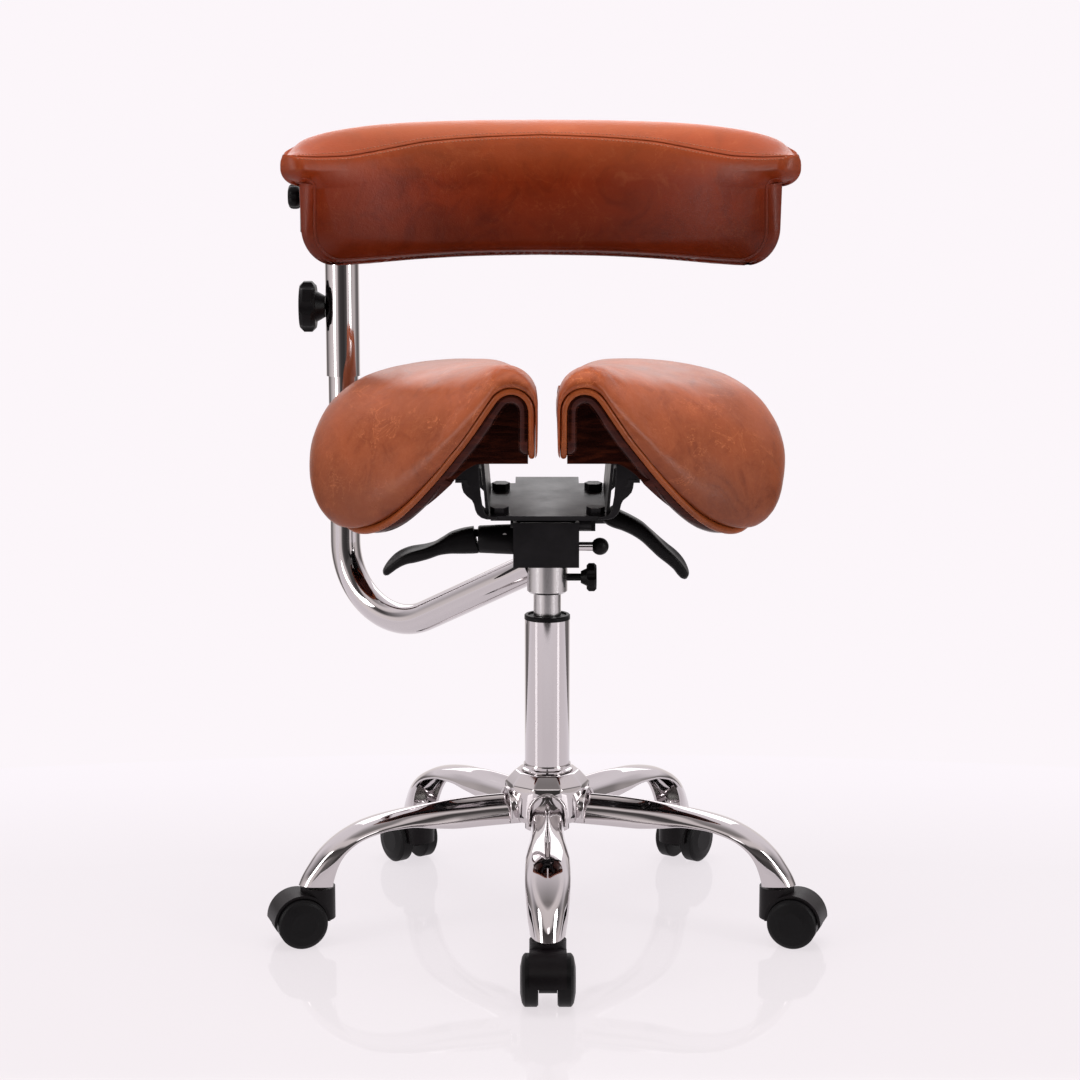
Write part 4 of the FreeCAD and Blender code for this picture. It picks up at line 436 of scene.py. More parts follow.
def arch_points(wall, rounding, slope, top, edge, edge_slope, foot, counts):
    """An arch from the foot of the wall, over the crest, to the outer edge."""
    wall_shares, crest_shares, outer_shares = counts
    centre = np.array([wall + rounding, top - rounding])
    rise = np.stack([np.full(len(wall_shares), wall), foot + (centre[1] - foot) * wall_shares], axis=1)
    turns = math.pi - (math.pi / 2 + slope) * crest_shares
    crest = centre + rounding * np.stack([np.cos(turns), np.sin(turns)], axis=1)
    joint, corners = two_arcs(crest[-1], heading(slope), edge, heading(edge_slope))
    track = np.vstack([arc_points(crest[-1], corners[0], joint, 200),
                       arc_points(joint, corners[1], edge, 200)[1:]])
    places = np.concatenate([[0], np.cumsum(np.linalg.norm(np.diff(track, axis=0), axis=1))])
    outer = np.stack([np.interp(outer_shares * places[-1], places, track[:, axis]) for axis in (0, 1)],
                     axis=1)
    return np.vstack([rise[:-1], crest[:-1], outer])


WALL_SHARES = np.linspace(0, 1, 12) ** 1.3
CREST_SHARES = np.linspace(0, 1, 30)
OUTER_SHARES = 1 - (1 - np.linspace(0, 1, 62)) ** 1.35
ARCH_COUNTS = (WALL_SHARES, CREST_SHARES, OUTER_SHARES)
ROW_PLACES = clustered(110)


def station_at(place):
    """Sizes at a place along the seat, eased between the stations."""
    reach = 0.04 * min(1, place / 0.08, (1 - place) / 0.08)
    near = [place - reach, place, place + reach]
    return [float(hermite(STATIONS[:, 0], STATIONS[:, column], near) @ (0.25, 0.5, 0.25))
            for column in range(1, 10)]


def seat_rows(offset, cushion=False):
    """Rows of (x, y, z) over the seat half at an offset from the shell, or over the cushion."""
    rows, wall_count = [], len(WALL_SHARES)
    for place in ROW_PLACES:
        crest, rounding, soft, slope, reach, height, edge_slope, thick, edge_thick = station_at(place)
        slope, edge_slope = math.radians(slope), math.radians(edge_slope)
        top = SEAT_CREST - SEAT_FALL * (1 - crest)
        rounding *= top - LEATHER_FOOT
        soft_top = top + BAND_THICK + CUSHION_RISE * thick
        edge = np.array([SEAT_REACH * reach, SEAT_CREST - SEAT_FALL * (1 - height)])
        normal = np.array([math.sin(edge_slope), math.cos(edge_slope)])
        if cushion:
            edge_out = edge + normal * (BAND_THICK + CUSHION_EDGE * edge_thick)
            section = arch_points(CUSHION_WALL, soft * (soft_top - LEATHER_FOOT), slope, soft_top,
                                  edge_out, edge_slope, LEATHER_FOOT, ARCH_COUNTS)
        else:
            section = arch_points(SHELL_WALL - offset, rounding + offset, slope, top + offset,
                                  edge + normal * offset, edge_slope, LEATHER_FOOT, ARCH_COUNTS)
        y = SEAT_FRONT + SEAT_LENGTH * place
        outer = np.clip((np.arange(len(section)) - wall_count) / (len(section) - wall_count), 0, 1)
        shift = 9.0 * outer ** 2 * max(0, 1 - place / 0.14) ** 2
        shift -= 14.0 * outer ** 2 * max(0, 1 - (1 - place) / 0.16) ** 2
        rows.append(np.stack([section[:, 0], y + shift, section[:, 1]], axis=1))
    return round_foot(np.array(rows), wall_count)


def round_foot(rows, wall_count):
    """Round the two lower corners of the wall beside the gap."""
    for radius, distance in ((13.0, rows[:, 0, 1] - rows[0, 0, 1]),
                             (22.0, rows[-1, 0, 1] - rows[:, 0, 1])):
        inside = np.clip(distance, 0, radius)
        lift = radius - np.sqrt(np.maximum(radius ** 2 - (radius - inside) ** 2, 0))
        wall_top = rows[:, wall_count - 1, 2]
        foot = rows[:, 0, 2]
        share = 1 - (rows[:, :wall_count, 2] - foot[:, None]) / (wall_top - foot)[:, None]
        rows[:, :wall_count, 2] += lift[:, None] * share
    return rows


def placed(points, side):
    """Millimetres of the level seat to metres in the frame, for the left (-1) or right (1) half."""
    points = np.asarray(points, float).reshape(-1, 3).copy()
    points[:, 0] *= side
    points *= MM
    turned = points - np.array(TILT_AXLE)
    cosine, sine = math.cos(SEAT_PITCH), math.sin(SEAT_PITCH)
    y = turned[:, 1] * cosine - turned[:, 2] * sine
    z = turned[:, 1] * sine + turned[:, 2] * cosine
    return np.stack([turned[:, 0], y, z], axis=1) + np.array(TILT_AXLE)


def along(rows, axis):
    """Distance along a grid of points from its first row or column."""
    steps = np.linalg.norm(np.diff(rows, axis=axis), axis=-1)
    shape = list(steps.shape)
    shape[axis] = 1
    return np.concatenate([np.zeros(shape), np.cumsum(steps, axis=axis)], axis=axis)


def roll(distance, radius):
    """Height share of a rolled edge: an ellipse that meets the border upright."""
    inside = np.clip(distance / radius, 0, 1)
    return np.sqrt(np.maximum(1 - (1 - inside) ** 2, 0))


NOSE_ROUND, NOSE_REACH, REAR_ROUND, FOOT_ROUND = 17.0, 3.0, 17.0, 12.0


def nose(distance, reach):
    """Height share and outward shift of a rolled edge that hangs over its border."""
    start = math.acos(NOSE_ROUND / (NOSE_ROUND + reach))
    turn = math.pi / 2 - np.clip(1 - distance / NOSE_ROUND, 0, 1) * (math.pi / 2 + start)
    share = (np.sin(turn) + math.sin(start)) / (1 + math.sin(start))
    shift = (NOSE_ROUND + reach) * np.cos(turn) - NOSE_ROUND + np.minimum(distance, NOSE_ROUND)
    return share, np.where(distance < NOSE_ROUND, shift, 0)


def outward(rows, axis):
    """Unit directions along a grid of points, towards its last row or column."""
    steps = np.gradient(rows, axis=axis)
    return steps / np.maximum(np.linalg.norm(steps, axis=-1, keepdims=True), 1e-9)


def cushion_surface(low, high):
    """The outer face of the padding between its two sheets, and its height share."""
    across = along(low, 1)
    down = along(low, 0)
    front_share, front_shift = nose(down, NOSE_REACH * 0.8)
    edge_share, edge_shift = nose(across[:, -1:] - across, NOSE_REACH)
    share = front_share * edge_share * roll(down[-1:] - down, REAR_ROUND) * roll(across, FOOT_ROUND)
    top = low + (high - low) * share[..., None]
    top = top + outward(low, 1) * (edge_shift * front_share)[..., None]
    top = top - outward(low, 0) * (front_shift * edge_share * roll(across, FOOT_ROUND))[..., None]
    return top, share


def relaxed(top, low, passes=24):
    """Even out the padding away from its border, where the rolled edge runs into the crown."""
    down, across = along(low, 0), along(low, 1)
    inside = np.minimum(np.minimum(down, down[-1:] - down), np.minimum(across, across[:, -1:] - across))
    weight = 0.5 * np.clip((inside[1:-1, 1:-1] - 5) / 12, 0, 1)[..., None]
    for _ in range(passes):
        middle = (top[:-2, 1:-1] + top[2:, 1:-1] + top[1:-1, :-2] + top[1:-1, 2:]) / 4
        top = top.copy()
        top[1:-1, 1:-1] += weight * (middle - top[1:-1, 1:-1])
    return top


def seat_cushion(side, name):
    low = seat_rows(BAND_THICK + 0.15)
    high = seat_rows(0, cushion=True)
    thickness = np.linalg.norm(high - low, axis=-1)
    top, share = cushion_surface(low, high)
    top = relaxed(top, low)
    rise = high - low
    rows, columns = top.shape[:2]
    puff = np.clip(thickness / 20.0, 0, 1)
    distance, run = np.broadcast_to(along(top, 0), top.shape[:2]), along(top, 1)
    for row in range(rows):
        for column in range(columns):
            point = top[row, column] * MM
            soft = noise.noise(Vector(point) * 26.0 + Vector((side * 3.0, 0, 5))) * 0.9
            soft += noise.noise(Vector(point) * 60.0 + Vector((side, 2, 0))) * 0.3
            behind = (distance[row, column] - 16) / 30
            if 0 < behind < 1:
                crease = noise.noise(Vector((run[row, column] * 0.16, behind * 1.3, side * 4.0)))
                soft -= 0.9 * math.sin(behind * math.pi) ** 2 * max(0.0, 1 - abs(crease) * 5)
            top[row, column] += rise[row, column] / max(thickness[row, column], 0.1) * (
                soft * share[row, column] ** 2 * puff[row, column])
    points = np.vstack([placed(top, side), placed(low, side)])
    faces = grid_faces(rows, columns, flip=side < 0)
    faces += grid_faces(rows, columns, start=rows * columns, flip=side > 0)
    return recalculate(mesh_object(name, points, faces, leather))


def border_of(rows):
    """The border of a grid as a loop: front, outer, rear and foot."""
    return np.vstack([rows[0, :-1], rows[:-1, -1], rows[-1, :0:-1], rows[:0:-1, 0]])


def smooth_loop(points, passes):
    for _ in range(passes):
        points = (np.roll(points, 1, axis=0) + 2 * points + np.roll(points, -1, axis=0)) / 4
    return points


def resample_loop(points, step, *others):
    """Even steps round a closed loop, with other tables carried along."""
    closed = np.vstack([points, points[:1]])
    run = np.concatenate([[0], np.cumsum(np.linalg.norm(np.diff(closed, axis=0), axis=1))])
    count = max(8, int(round(run[-1] / step)))
    places = np.linspace(0, run[-1], count, endpoint=False)
    result = []
    for table in (points, *others):
        looped = np.vstack([table, table[:1]])
        result.append(np.stack([np.interp(places, run, looped[:, axis]) for axis in range(3)], axis=1))
    return result


def loop_frames(points, normals):
    """Outward direction and normal along a loop that runs round a sheet."""
    tangent = unit(np.roll(points, -1, axis=0) - np.roll(points, 1, axis=0))
    normals = unit(normals - tangent * np.sum(normals * tangent, axis=1, keepdims=True))
    return unit(np.cross(tangent, normals)), normals


def sweep_loop(points, outward, normals, profile):
    """Rings and faces of a closed profile of (outward, normal) places carried round a closed loop."""
    rings = np.array([[point + aside * a + normal * b for a, b in profile]
                      for point, aside, normal in zip(points, outward, normals)])
    return rings, grid_faces(*rings.shape[:2], wrap_rows=True, wrap_columns=True)


BAND_HANG = 6.0
BAND_PROFILE = [(-9.0, -0.3), (-3.0, -0.2), (-1.2, -0.35), (0.2, -0.9), (1.1, -1.9), (1.45, -3.2),
                (1.2, -4.6), (0.4, -5.7), (-0.8, -6.3), (-2.6, -6.5), (-9.0, -6.4)]
RIM_PROFILE = [(-11.0, -6.0), (-3.2, -6.2), (-2.2, -6.6), (-1.7, -7.6), (-1.6, -9.2), (-2.1, -11.4),
               (-3.2, -13.6), (-4.9, -15.4), (-7.0, -16.4), (-9.0, -16.7), (-13.0, -15.6)]


def seat_border():
    low = seat_rows(BAND_THICK)
    high = seat_rows(BAND_THICK + 1.0)
    points = border_of(low)
    normals = border_of(high) - points
    points, normals = resample_loop(points, 2.2, normals)
    points = smooth_loop(points, 10)
    normals = smooth_loop(unit(normals), 20)
    outward, normals = loop_frames(points, normals)
    centre = low.reshape(-1, 3).mean(axis=0)
    if np.sum((points - centre) * outward) < 0:
        outward = -outward
    place = (points[:, 1] - SEAT_FRONT) / SEAT_LENGTH
    hang = np.clip((points[:, 0] - 90) / 60, 0, 1) * np.clip((0.72 - place) / 0.3, 0, 1)
    points = points + outward * (BAND_HANG * hang)[:, None]
    return points, outward, normals


def seat_trim(side, word):
    """The leather band under the cushion and the lacquered rim of the shell."""
    points, outward, normals = seat_border()
    place = (points[:, 1] - SEAT_FRONT) / SEAT_LENGTH
    behind = np.clip((place - 0.78) / 0.12, 0, 1) * np.clip((95 - points[:, 0]) / 45, 0, 1)
    corner = np.clip((place - 0.90) / 0.06, 0, 1) * np.clip((38 - points[:, 0]) / 14, 0, 1)
    made = []
    for name, profile, material, drawn in (
            (word + "_seat_band_welt", BAND_PROFILE, band_leather, 0.55 * corner),
            (word + "_seat_shell_rim", RIM_PROFILE, shell_gloss, 0.9 * behind)):
        scale = 1 - smooth_loop(drawn[:, None], 6)
        rings, faces = sweep_loop(points, outward * scale, normals * scale, profile)
        made.append(recalculate(mesh_object(name, placed(rings, side), faces, material)))
    return made


def seat_shell(side, word):
    """The shell under the leather: a slanting wing and a glossy pommel block with a flat foot."""
    counts = (np.linspace(0, 1, 6), np.linspace(0, 1, 22), np.linspace(0, 1, 30))
    places = np.concatenate([[0.062], np.linspace(0.068, 0.945, 60), [0.952]])
    sections = []
    for place in places:
        crest, rounding, _, slope, reach, height, edge_slope = station_at(place)[:7]
        slope, edge_slope = math.radians(slope), math.radians(edge_slope)
        top = SEAT_CREST - SEAT_FALL * (1 - crest)
        rounding *= top - LEATHER_FOOT
        edge = np.array([SEAT_REACH * reach, SEAT_CREST - SEAT_FALL * (1 - height)])
        normal = np.array([math.sin(edge_slope), math.cos(edge_slope)])
        inward = np.array([-normal[1], normal[0]])
        edge_in = edge + inward * 5.0 - normal * 1.0
        upper = arch_points(SHELL_WALL + 0.5, rounding - 0.5, slope, top - 0.5, edge_in, edge_slope,
                            SHELL_BOTTOM, counts)
        under = edge_in - normal * 13.0 + inward * 4.0
        heel = np.array([SHELL_HEEL, SHELL_BOTTOM])
        bend = np.linspace(0, 1, 24)[:, None]
        knee = (under + heel) / 2 + np.array([(under - heel)[1], -(under - heel)[0]]) * -0.16
        lower = (1 - bend) ** 2 * under + 2 * bend * (1 - bend) * knee + bend ** 2 * heel
        flat = np.linspace(heel, [SHELL_WALL + 0.5, SHELL_BOTTOM], 8)[1:-1]
        section = np.vstack([upper, lower, flat])
        outer = np.clip((section[:, 0] - SHELL_WALL) / (SEAT_REACH * reach - SHELL_WALL), 0, 1)
        y = SEAT_FRONT + SEAT_LENGTH * place - 16.0 * outer ** 2 * max(0, 1 - (1 - place) / 0.16) ** 2
        sections.append(np.stack([section[:, 0], y, section[:, 1]], axis=1))
    sections = np.array(sections)
    rows, columns = sections.shape[:2]
    faces = grid_faces(rows, columns, wrap_columns=True)
    faces.append(tuple(range(columns)))
    faces.append(tuple(range((rows - 1) * columns, rows * columns))[::-1])
    obj = recalculate(mesh_object(word + "_seat_shell_body", placed(sections, side), faces, shell_gloss))
    soft_edge(obj, 1.6, 40, segments=3)
    return obj


def cushion_piece(obj, body, node):
    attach(obj, body)
    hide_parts(node)


def rigid_piece(obj, body, slot, *nodes):
    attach(obj, body)
    if nodes:
        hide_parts(*nodes)


for side, word in ((-1, "left"), (1, "right")):
    cushion_piece(seat_cushion(side, word + "_seat_cushion_leather"), "seat", word + "_seat_cushion")
    band, rim = seat_trim(side, word)
    rigid_piece(band, "seat", "leather_band", word + "_seat_band")
    rigid_piece(rim, "seat", "shell", word + "_seat_shell")
    rigid_piece(seat_shell(side, word), "seat", "shell", word + "_seat_shell")


# Back pad: a front panel with a stitched top ledge and ears, a gusset and a covered back board

PAD_CENTRE = (-6.7, -270.0)
PAD_WELT, PAD_BACK, PAD_UNROLL = 418.0, 444.0, 415.0
PAD_FACE, LEDGE_FRONT, LEDGE_BACK, SIDE_ROLL, SIDE_BULGE = 398.0, 400.2, 443.0, 15.0, 4.0
STITCH_REACH, STITCH_PITCH, STITCH_LENGTH, STITCH_WIDTH = 38.0, 3.9, 2.8, 0.95
# Plan angle, height of the ledge's front seam, top of the back, bottom of the body
PAD_HEIGHTS = np.array([
    (0.0, 803.0, 818.0, 680.5), (8.0, 801.0, 817.6, 679.8), (16.5, 796.6, 816.0, 677.6),
    (22.0, 790.3, 813.6, 675.2), (26.0, 785.4, 810.4, 673.4), (30.0, 781.8, 805.6, 672.6),
    (34.0, 781.2, 797.5, 672.6), (37.0, 782.0, 790.0, 672.6), (40.5, 784.5, 788.0, 672.6)])
PAD_LOW = 672.6
EAR_ANGLE, BODY_ANGLE, EAR_BOTTOM, EAR_RISE, CORNER_RADIUS = 38.7, 35.6, 754.0, 15.0, 36.0
EAR_REACH, EAR_CORNER, EAR_FRONT, EAR_TOP = 262.1, 3.2, 0.1, 772.0
PAD_PLACES = np.sin(np.linspace(-1, 1, 261) * 1.42) / math.sin(1.42)
BODY_SHARES = np.concatenate([0.3 * np.linspace(0, 1, 26)[:-1] ** 1.9, np.linspace(0.3, 0.62, 16)[:-1],
                              np.linspace(0.62, 0.84, 26)[:-1], np.linspace(0.84, 0.975, 14),
                              [0.98, 0.985, 0.989, 0.9925, 0.996, 1.0]])
LEDGE_SHARES = np.concatenate([[0.012, 0.024, 0.038, 0.055, 0.075], np.linspace(0.1, 1.0, 26)])


def pad_heights(angle):
    angle = np.abs(angle)
    return [hermite(PAD_HEIGHTS[:, 0], PAD_HEIGHTS[:, column], angle) for column in (1, 2, 3)]


def pad_place(angle, radius, height):
    turn = np.radians(angle)
    return np.stack([PAD_CENTRE[0] + radius * np.sin(turn), PAD_CENTRE[1] + radius * np.cos(turn),
                     height + 0 * turn], axis=-1) * MM


def drawn_in(angle, radius):
    """The angle at which a larger radius keeps the reach across that the welt has."""
    return np.degrees(np.arcsin(np.clip(np.sin(np.radians(angle)) * PAD_WELT / radius, -1, 1)))


def ledge_half(share):
    """Half angle of the ledge: straight ends that run back, then rounded rear corners."""
    radius = PAD_WELT + (LEDGE_BACK - PAD_WELT) * share
    corner = EAR_CORNER * (1 - np.sqrt(1 - (share * 0.97) ** 2))
    front = EAR_FRONT * (1 - np.clip(share / 0.25, 0, 1)) ** 2
    return np.degrees(np.arcsin(EAR_REACH / radius)) - corner - front - 0.14


def side_angle(height):
    """Half angle of the pad at a height: rounded lower corners, a straight side, then the ears."""
    inside = np.clip(height - PAD_LOW, 0, CORNER_RADIUS)
    inset = CORNER_RADIUS - np.sqrt(np.maximum(CORNER_RADIUS ** 2 - (CORNER_RADIUS - inside) ** 2, 0))
    body = BODY_ANGLE - np.degrees(inset / PAD_UNROLL) + (height - 740) * 0.004
    share = np.clip((height - EAR_BOTTOM) / EAR_RISE, 0, 1)
    share = np.sqrt(np.maximum(1 - (1 - share) ** 2, 0))
    top = np.clip((height - EAR_TOP) / 10.5, 0, 1)
    return body + (EAR_ANGLE - body) * share - EAR_FRONT * (1 - np.sqrt(1 - top ** 2)) * share


def border_distance(angles, heights):
    """Distance from each place of the unrolled sheet to its side and bottom border, and the way there."""
    ear_full = EAR_BOTTOM + EAR_RISE
    rise = np.concatenate([np.linspace(PAD_LOW, EAR_BOTTOM, 160), np.linspace(EAR_BOTTOM, ear_full, 60),
                           np.linspace(ear_full, 800, 60)])
    right = np.stack([np.radians(side_angle(rise)) * PAD_UNROLL, rise], axis=1)
    foot = np.linspace(-1, 1, 300) * side_angle(PAD_LOW)
    base = np.stack([np.radians(foot) * PAD_UNROLL, pad_heights(foot)[2]], axis=1)
    border = np.vstack([right * [-1, 1], base, right])
    places = np.stack([np.radians(angles) * PAD_UNROLL, heights], axis=-1).reshape(-1, 2)
    nearest = np.empty_like(places)
    distance = np.empty(len(places))
    for start in range(0, len(places), 4000):
        part = places[start:start + 4000]
        gaps = np.linalg.norm(part[:, None] - border[None], axis=2)
        best = gaps.argmin(axis=1)
        nearest[start:start + 4000] = border[best]
        distance[start:start + 4000] = gaps[np.arange(len(part)), best]
    way = (nearest - places) / np.maximum(distance, 1e-6)[:, None]
    return distance.reshape(angles.shape), way.reshape(*angles.shape, 2)


def pad_grid():
    """Angles and heights of the body rows and of the ledge rows."""
    angles, heights = [], []
    for share in BODY_SHARES:
        half = BODY_ANGLE
        for _ in range(30):
            seam, _, bottom = pad_heights(half)
            half = 0.6 * half + 0.4 * float(side_angle(bottom + (seam - bottom) * share))
        row = PAD_PLACES * half
        seam, _, bottom = pad_heights(row)
        angles.append(row)
        heights.append(bottom + (seam - bottom) * share)
    for share in LEDGE_SHARES:
        row = PAD_PLACES * ledge_half(share)
        seam, top, _ = pad_heights(row)
        angles.append(row)
        heights.append(seam + (top - seam) * (1 - (1 - share) ** 1.7))
    return np.array(angles), np.array(heights)


def pad_cushion():
    angles, heights = pad_grid()
    count = len(BODY_SHARES)
    seam = pad_heights(angles)[0]
    distance, way = border_distance(angles[:count], heights[:count])
    below = np.maximum(seam[:count] - heights[:count], 0)
    front = PAD_FACE + hermite([0, 4, 12, 30, 60, 100, 135], [3.4, 0.2, -1.8, -3.6, -2.0, 3.4, 10.0],
                            np.clip(below, 0, 134))
    reach = np.abs(angles[:count])
    fold = np.clip((reach - 25) / 9, 0, 1) ** 2 * np.clip((below - 14) / 18, 0, 1)
    front = front + 8.0 * fold
    low_down = np.clip((760 - heights[:count]) / 50, 0, 1)
    radius = SIDE_ROLL + 13.0 * low_down * np.clip((reach - 15) / 15, 0, 1)
    share = roll(distance, radius)
    body = PAD_WELT + (front - PAD_WELT) * share
    groove = np.exp(-(below / 1.1) ** 2) * 0.9
    body = body + groove
    run = np.broadcast_to(LEDGE_SHARES[:, None], angles[count:].shape)
    ledge = LEDGE_FRONT + (LEDGE_BACK - LEDGE_FRONT) * run
    side = ledge_half(run) - np.abs(angles[count:])
    side_share = roll(np.radians(side) * PAD_UNROLL, SIDE_ROLL)
    ledge_border = PAD_WELT + (LEDGE_BACK - PAD_WELT) * run
    ledge = ledge_border + (ledge - ledge_border) * side_share
    ledge_z = heights[count:] - 3.5 * np.clip((run - 0.86) / 0.14, 0, 1) ** 2
    ledge_z = ledge_z - 0.8 * np.exp(-((run * 43) / 1.1) ** 2) + 1.4 * np.sin(run * math.pi) * side_share
    ledge_z = ledge_z - (1 - side_share) * 5.0 * np.clip(run / 0.3, 0, 1)
    front_points = np.concatenate([pad_place(angles[:count], body, heights[:count]),
                                   pad_place(angles[count:], ledge, ledge_z)])
    gusset = np.clip(distance / SIDE_ROLL, 0, 1)
    turn = np.clip(gusset / 0.62, 0, 1)
    back = PAD_WELT + (PAD_BACK - 3.0 - PAD_WELT) * turn + 3.0 * np.clip((gusset - 0.62) / 0.38, 0, 1)
    bulge = SIDE_BULGE * roll(turn, 0.4) * (1 - 0.35 * turn)
    bulge = bulge * (1 - np.clip((heights[:count] - EAR_TOP) / 11.0, 0, 1) ** 2)
    keep = np.clip((gusset - 0.62) / 0.38, 0, 1)
    shift = (bulge + distance) * (1 - keep)
    back_angles = angles[:count] + np.degrees(way[..., 0] * shift / PAD_UNROLL)
    back_heights = heights[:count] + way[..., 1] * shift
    half = side_angle(heights[:count])
    back_angles = back_angles * drawn_in(half, back) / half
    at_border = distance < 1e-3
    back_angles = np.where(at_border, angles[:count], back_angles)
    back_heights = np.where(at_border, heights[:count], back_heights)
    low = np.broadcast_to(heights[count - 1:count], angles[count:].shape)
    rear_z = low + (ledge_z[-1:] - low) * run
    rear = PAD_BACK - 3.0 * np.clip((run - 0.8) / 0.2, 0, 1) ** 2
    rear = ledge_border + (rear - ledge_border) * roll(np.radians(side) * PAD_UNROLL, 12.0)
    rear = np.where(run >= 1, ledge, rear)
    half = ledge_half(run)
    shrink = np.degrees(np.arcsin(np.sin(np.radians(half)) * ledge_border / rear)) / half
    back_points = np.concatenate([pad_place(back_angles, back, back_heights),
                                  pad_place(angles[count:] * shrink, rear, rear_z)])
    back_points[:, 0] = front_points[:, 0]
    back_points[:, -1] = front_points[:, -1]
    back_points[0] = front_points[0]
    rows, columns = angles.shape
    points = np.vstack([front_points.reshape(-1, 3), back_points.reshape(-1, 3)])
    faces = grid_faces(rows, columns) + grid_faces(rows, columns, start=rows * columns, flip=True)
    return recalculate(mesh_object("pad_cushion_leather", points, faces, pad_leather))


def pad_board():
    """The covered board at the back: its face crowned, its edge rolled."""
    rows = []
    for share in np.concatenate([[0], 1 - np.cos(np.linspace(0.25, math.pi - 0.25, 40)), [2]]) / 2:
        half = BODY_ANGLE
        for _ in range(30):
            _, top, bottom = pad_heights(half)
            height = (bottom + 9) + (top - 14 - bottom - 9) * share
            side = drawn_in(float(side_angle(min(height - 6, EAR_BOTTOM - 2))), PAD_BACK)
            half = 0.6 * half + 0.4 * (side - 0.8 - 3.0 * max(0, (height - 775) / 30) ** 2)
        row = PAD_PLACES[::2] * half
        _, top, bottom = pad_heights(row)
        rows.append(np.stack([row, (bottom + 9) + (top - 14 - bottom - 9) * share], axis=1))
    rows = np.array(rows)
    sheet = np.stack([np.radians(rows[..., 0]) * PAD_UNROLL, rows[..., 1]], axis=-1)
    down, across = along(sheet, 0), along(sheet, 1)
    share = (roll(down, 7) * roll(down[-1:] - down, 7) * roll(across, 7) * roll(across[:, -1:] - across, 7))
    outer = pad_place(rows[..., 0], PAD_BACK - 1 + 7.0 * share, rows[..., 1])
    inner = pad_place(rows[..., 0], PAD_BACK - 1 - 2 * share, rows[..., 1])
    size = rows.shape[:2]
    points = np.vstack([outer.reshape(-1, 3), inner.reshape(-1, 3)])
    faces = grid_faces(*size) + grid_faces(*size, start=size[0] * size[1], flip=True)
    return recalculate(mesh_object("pad_back_board", points, faces, pad_leather))


# Stitches: small oval threads laid along a line on a surface

def stitch_row(name, points, normals, sides=6):
    """Threads of one seam as one mesh; points and normals run along the seam, in metres."""
    points, normals = np.asarray(points, float), unit(normals)
    pitch, length, width = STITCH_PITCH * MM, STITCH_LENGTH * MM, STITCH_WIDTH * MM
    run = np.concatenate([[0], np.cumsum(np.linalg.norm(np.diff(points, axis=0), axis=1))])
    verts, faces = [], []
    rings = [(-0.5, 0.0, -1.2), (-0.36, 0.8, -0.1), (0.0, 1.0, 0.6), (0.36, 0.8, -0.1), (0.5, 0.0, -1.2)]
    for place in np.arange(pitch, run[-1] - pitch / 2, pitch):
        centre = Vector([np.interp(place, run, points[:, axis]) for axis in range(3)])
        ahead = Vector([np.interp(place + pitch * 0.4, run, points[:, axis]) for axis in range(3)])
        up = Vector([np.interp(place, run, normals[:, axis]) for axis in range(3)]).normalized()
        way = ahead - centre
        way = (way - up * way.dot(up)).normalized()
        aside = up.cross(way)
        base = len(verts)
        for offset, thick, height in rings:
            for side in range(sides):
                turn = 2 * math.pi * side / sides
                verts.append(centre + way * (offset * length) + aside * (math.cos(turn) * thick * width / 2)
                             + up * (height * width * 0.35 + math.sin(turn) * thick * width / 2))
        for ring in range(len(rings) - 1):
            for side in range(sides):
                following = (side + 1) % sides
                faces.append((base + ring * sides + side, base + ring * sides + following,
                              base + (ring + 1) * sides + following, base + (ring + 1) * sides + side))
    return mesh_object(name, verts, faces, thread)


def surface_of(obj):
    work = bmesh.new()
    work.from_mesh(obj.data)
    tree = BVHTree.FromBMesh(work)
    work.free()
    return tree


def cast_line(tree, starts, directions):
    points, normals = [], []
    for start, direction in zip(starts, directions):
        place, normal, _, _ = tree.ray_cast(Vector(start), Vector(direction))
        if place is not None:
            points.append(tuple(place))
            normals.append(tuple(normal if normal.dot(Vector(direction)) < 0 else -normal))
    return points, normals


def pad_stitches(cushion):
    tree = surface_of(cushion)
    angles = np.linspace(-STITCH_REACH, STITCH_REACH, 300)
    seam = pad_heights(angles)[0]
    made = []
    outward = np.stack([np.sin(np.radians(angles)), np.cos(np.radians(angles)), 0 * angles], axis=1)
    low_starts = pad_place(angles, 340, seam - 3.2)
    high_starts = pad_place(angles, 403.6, seam + 40)
    for name, starts, ways in (("pad_stitches_lower", low_starts, outward),
                               ("pad_stitches_upper", high_starts, np.tile([0, 0, -1.0], (300, 1)))):
        points, normals = cast_line(tree, starts, ways)
        made.append(stitch_row(name, points, normals))
    return made


WELT_SIDE, WELT_LOW, WELT_RADIUS, WELT_SIDES = 8.0, 3.6, 1.15, 12


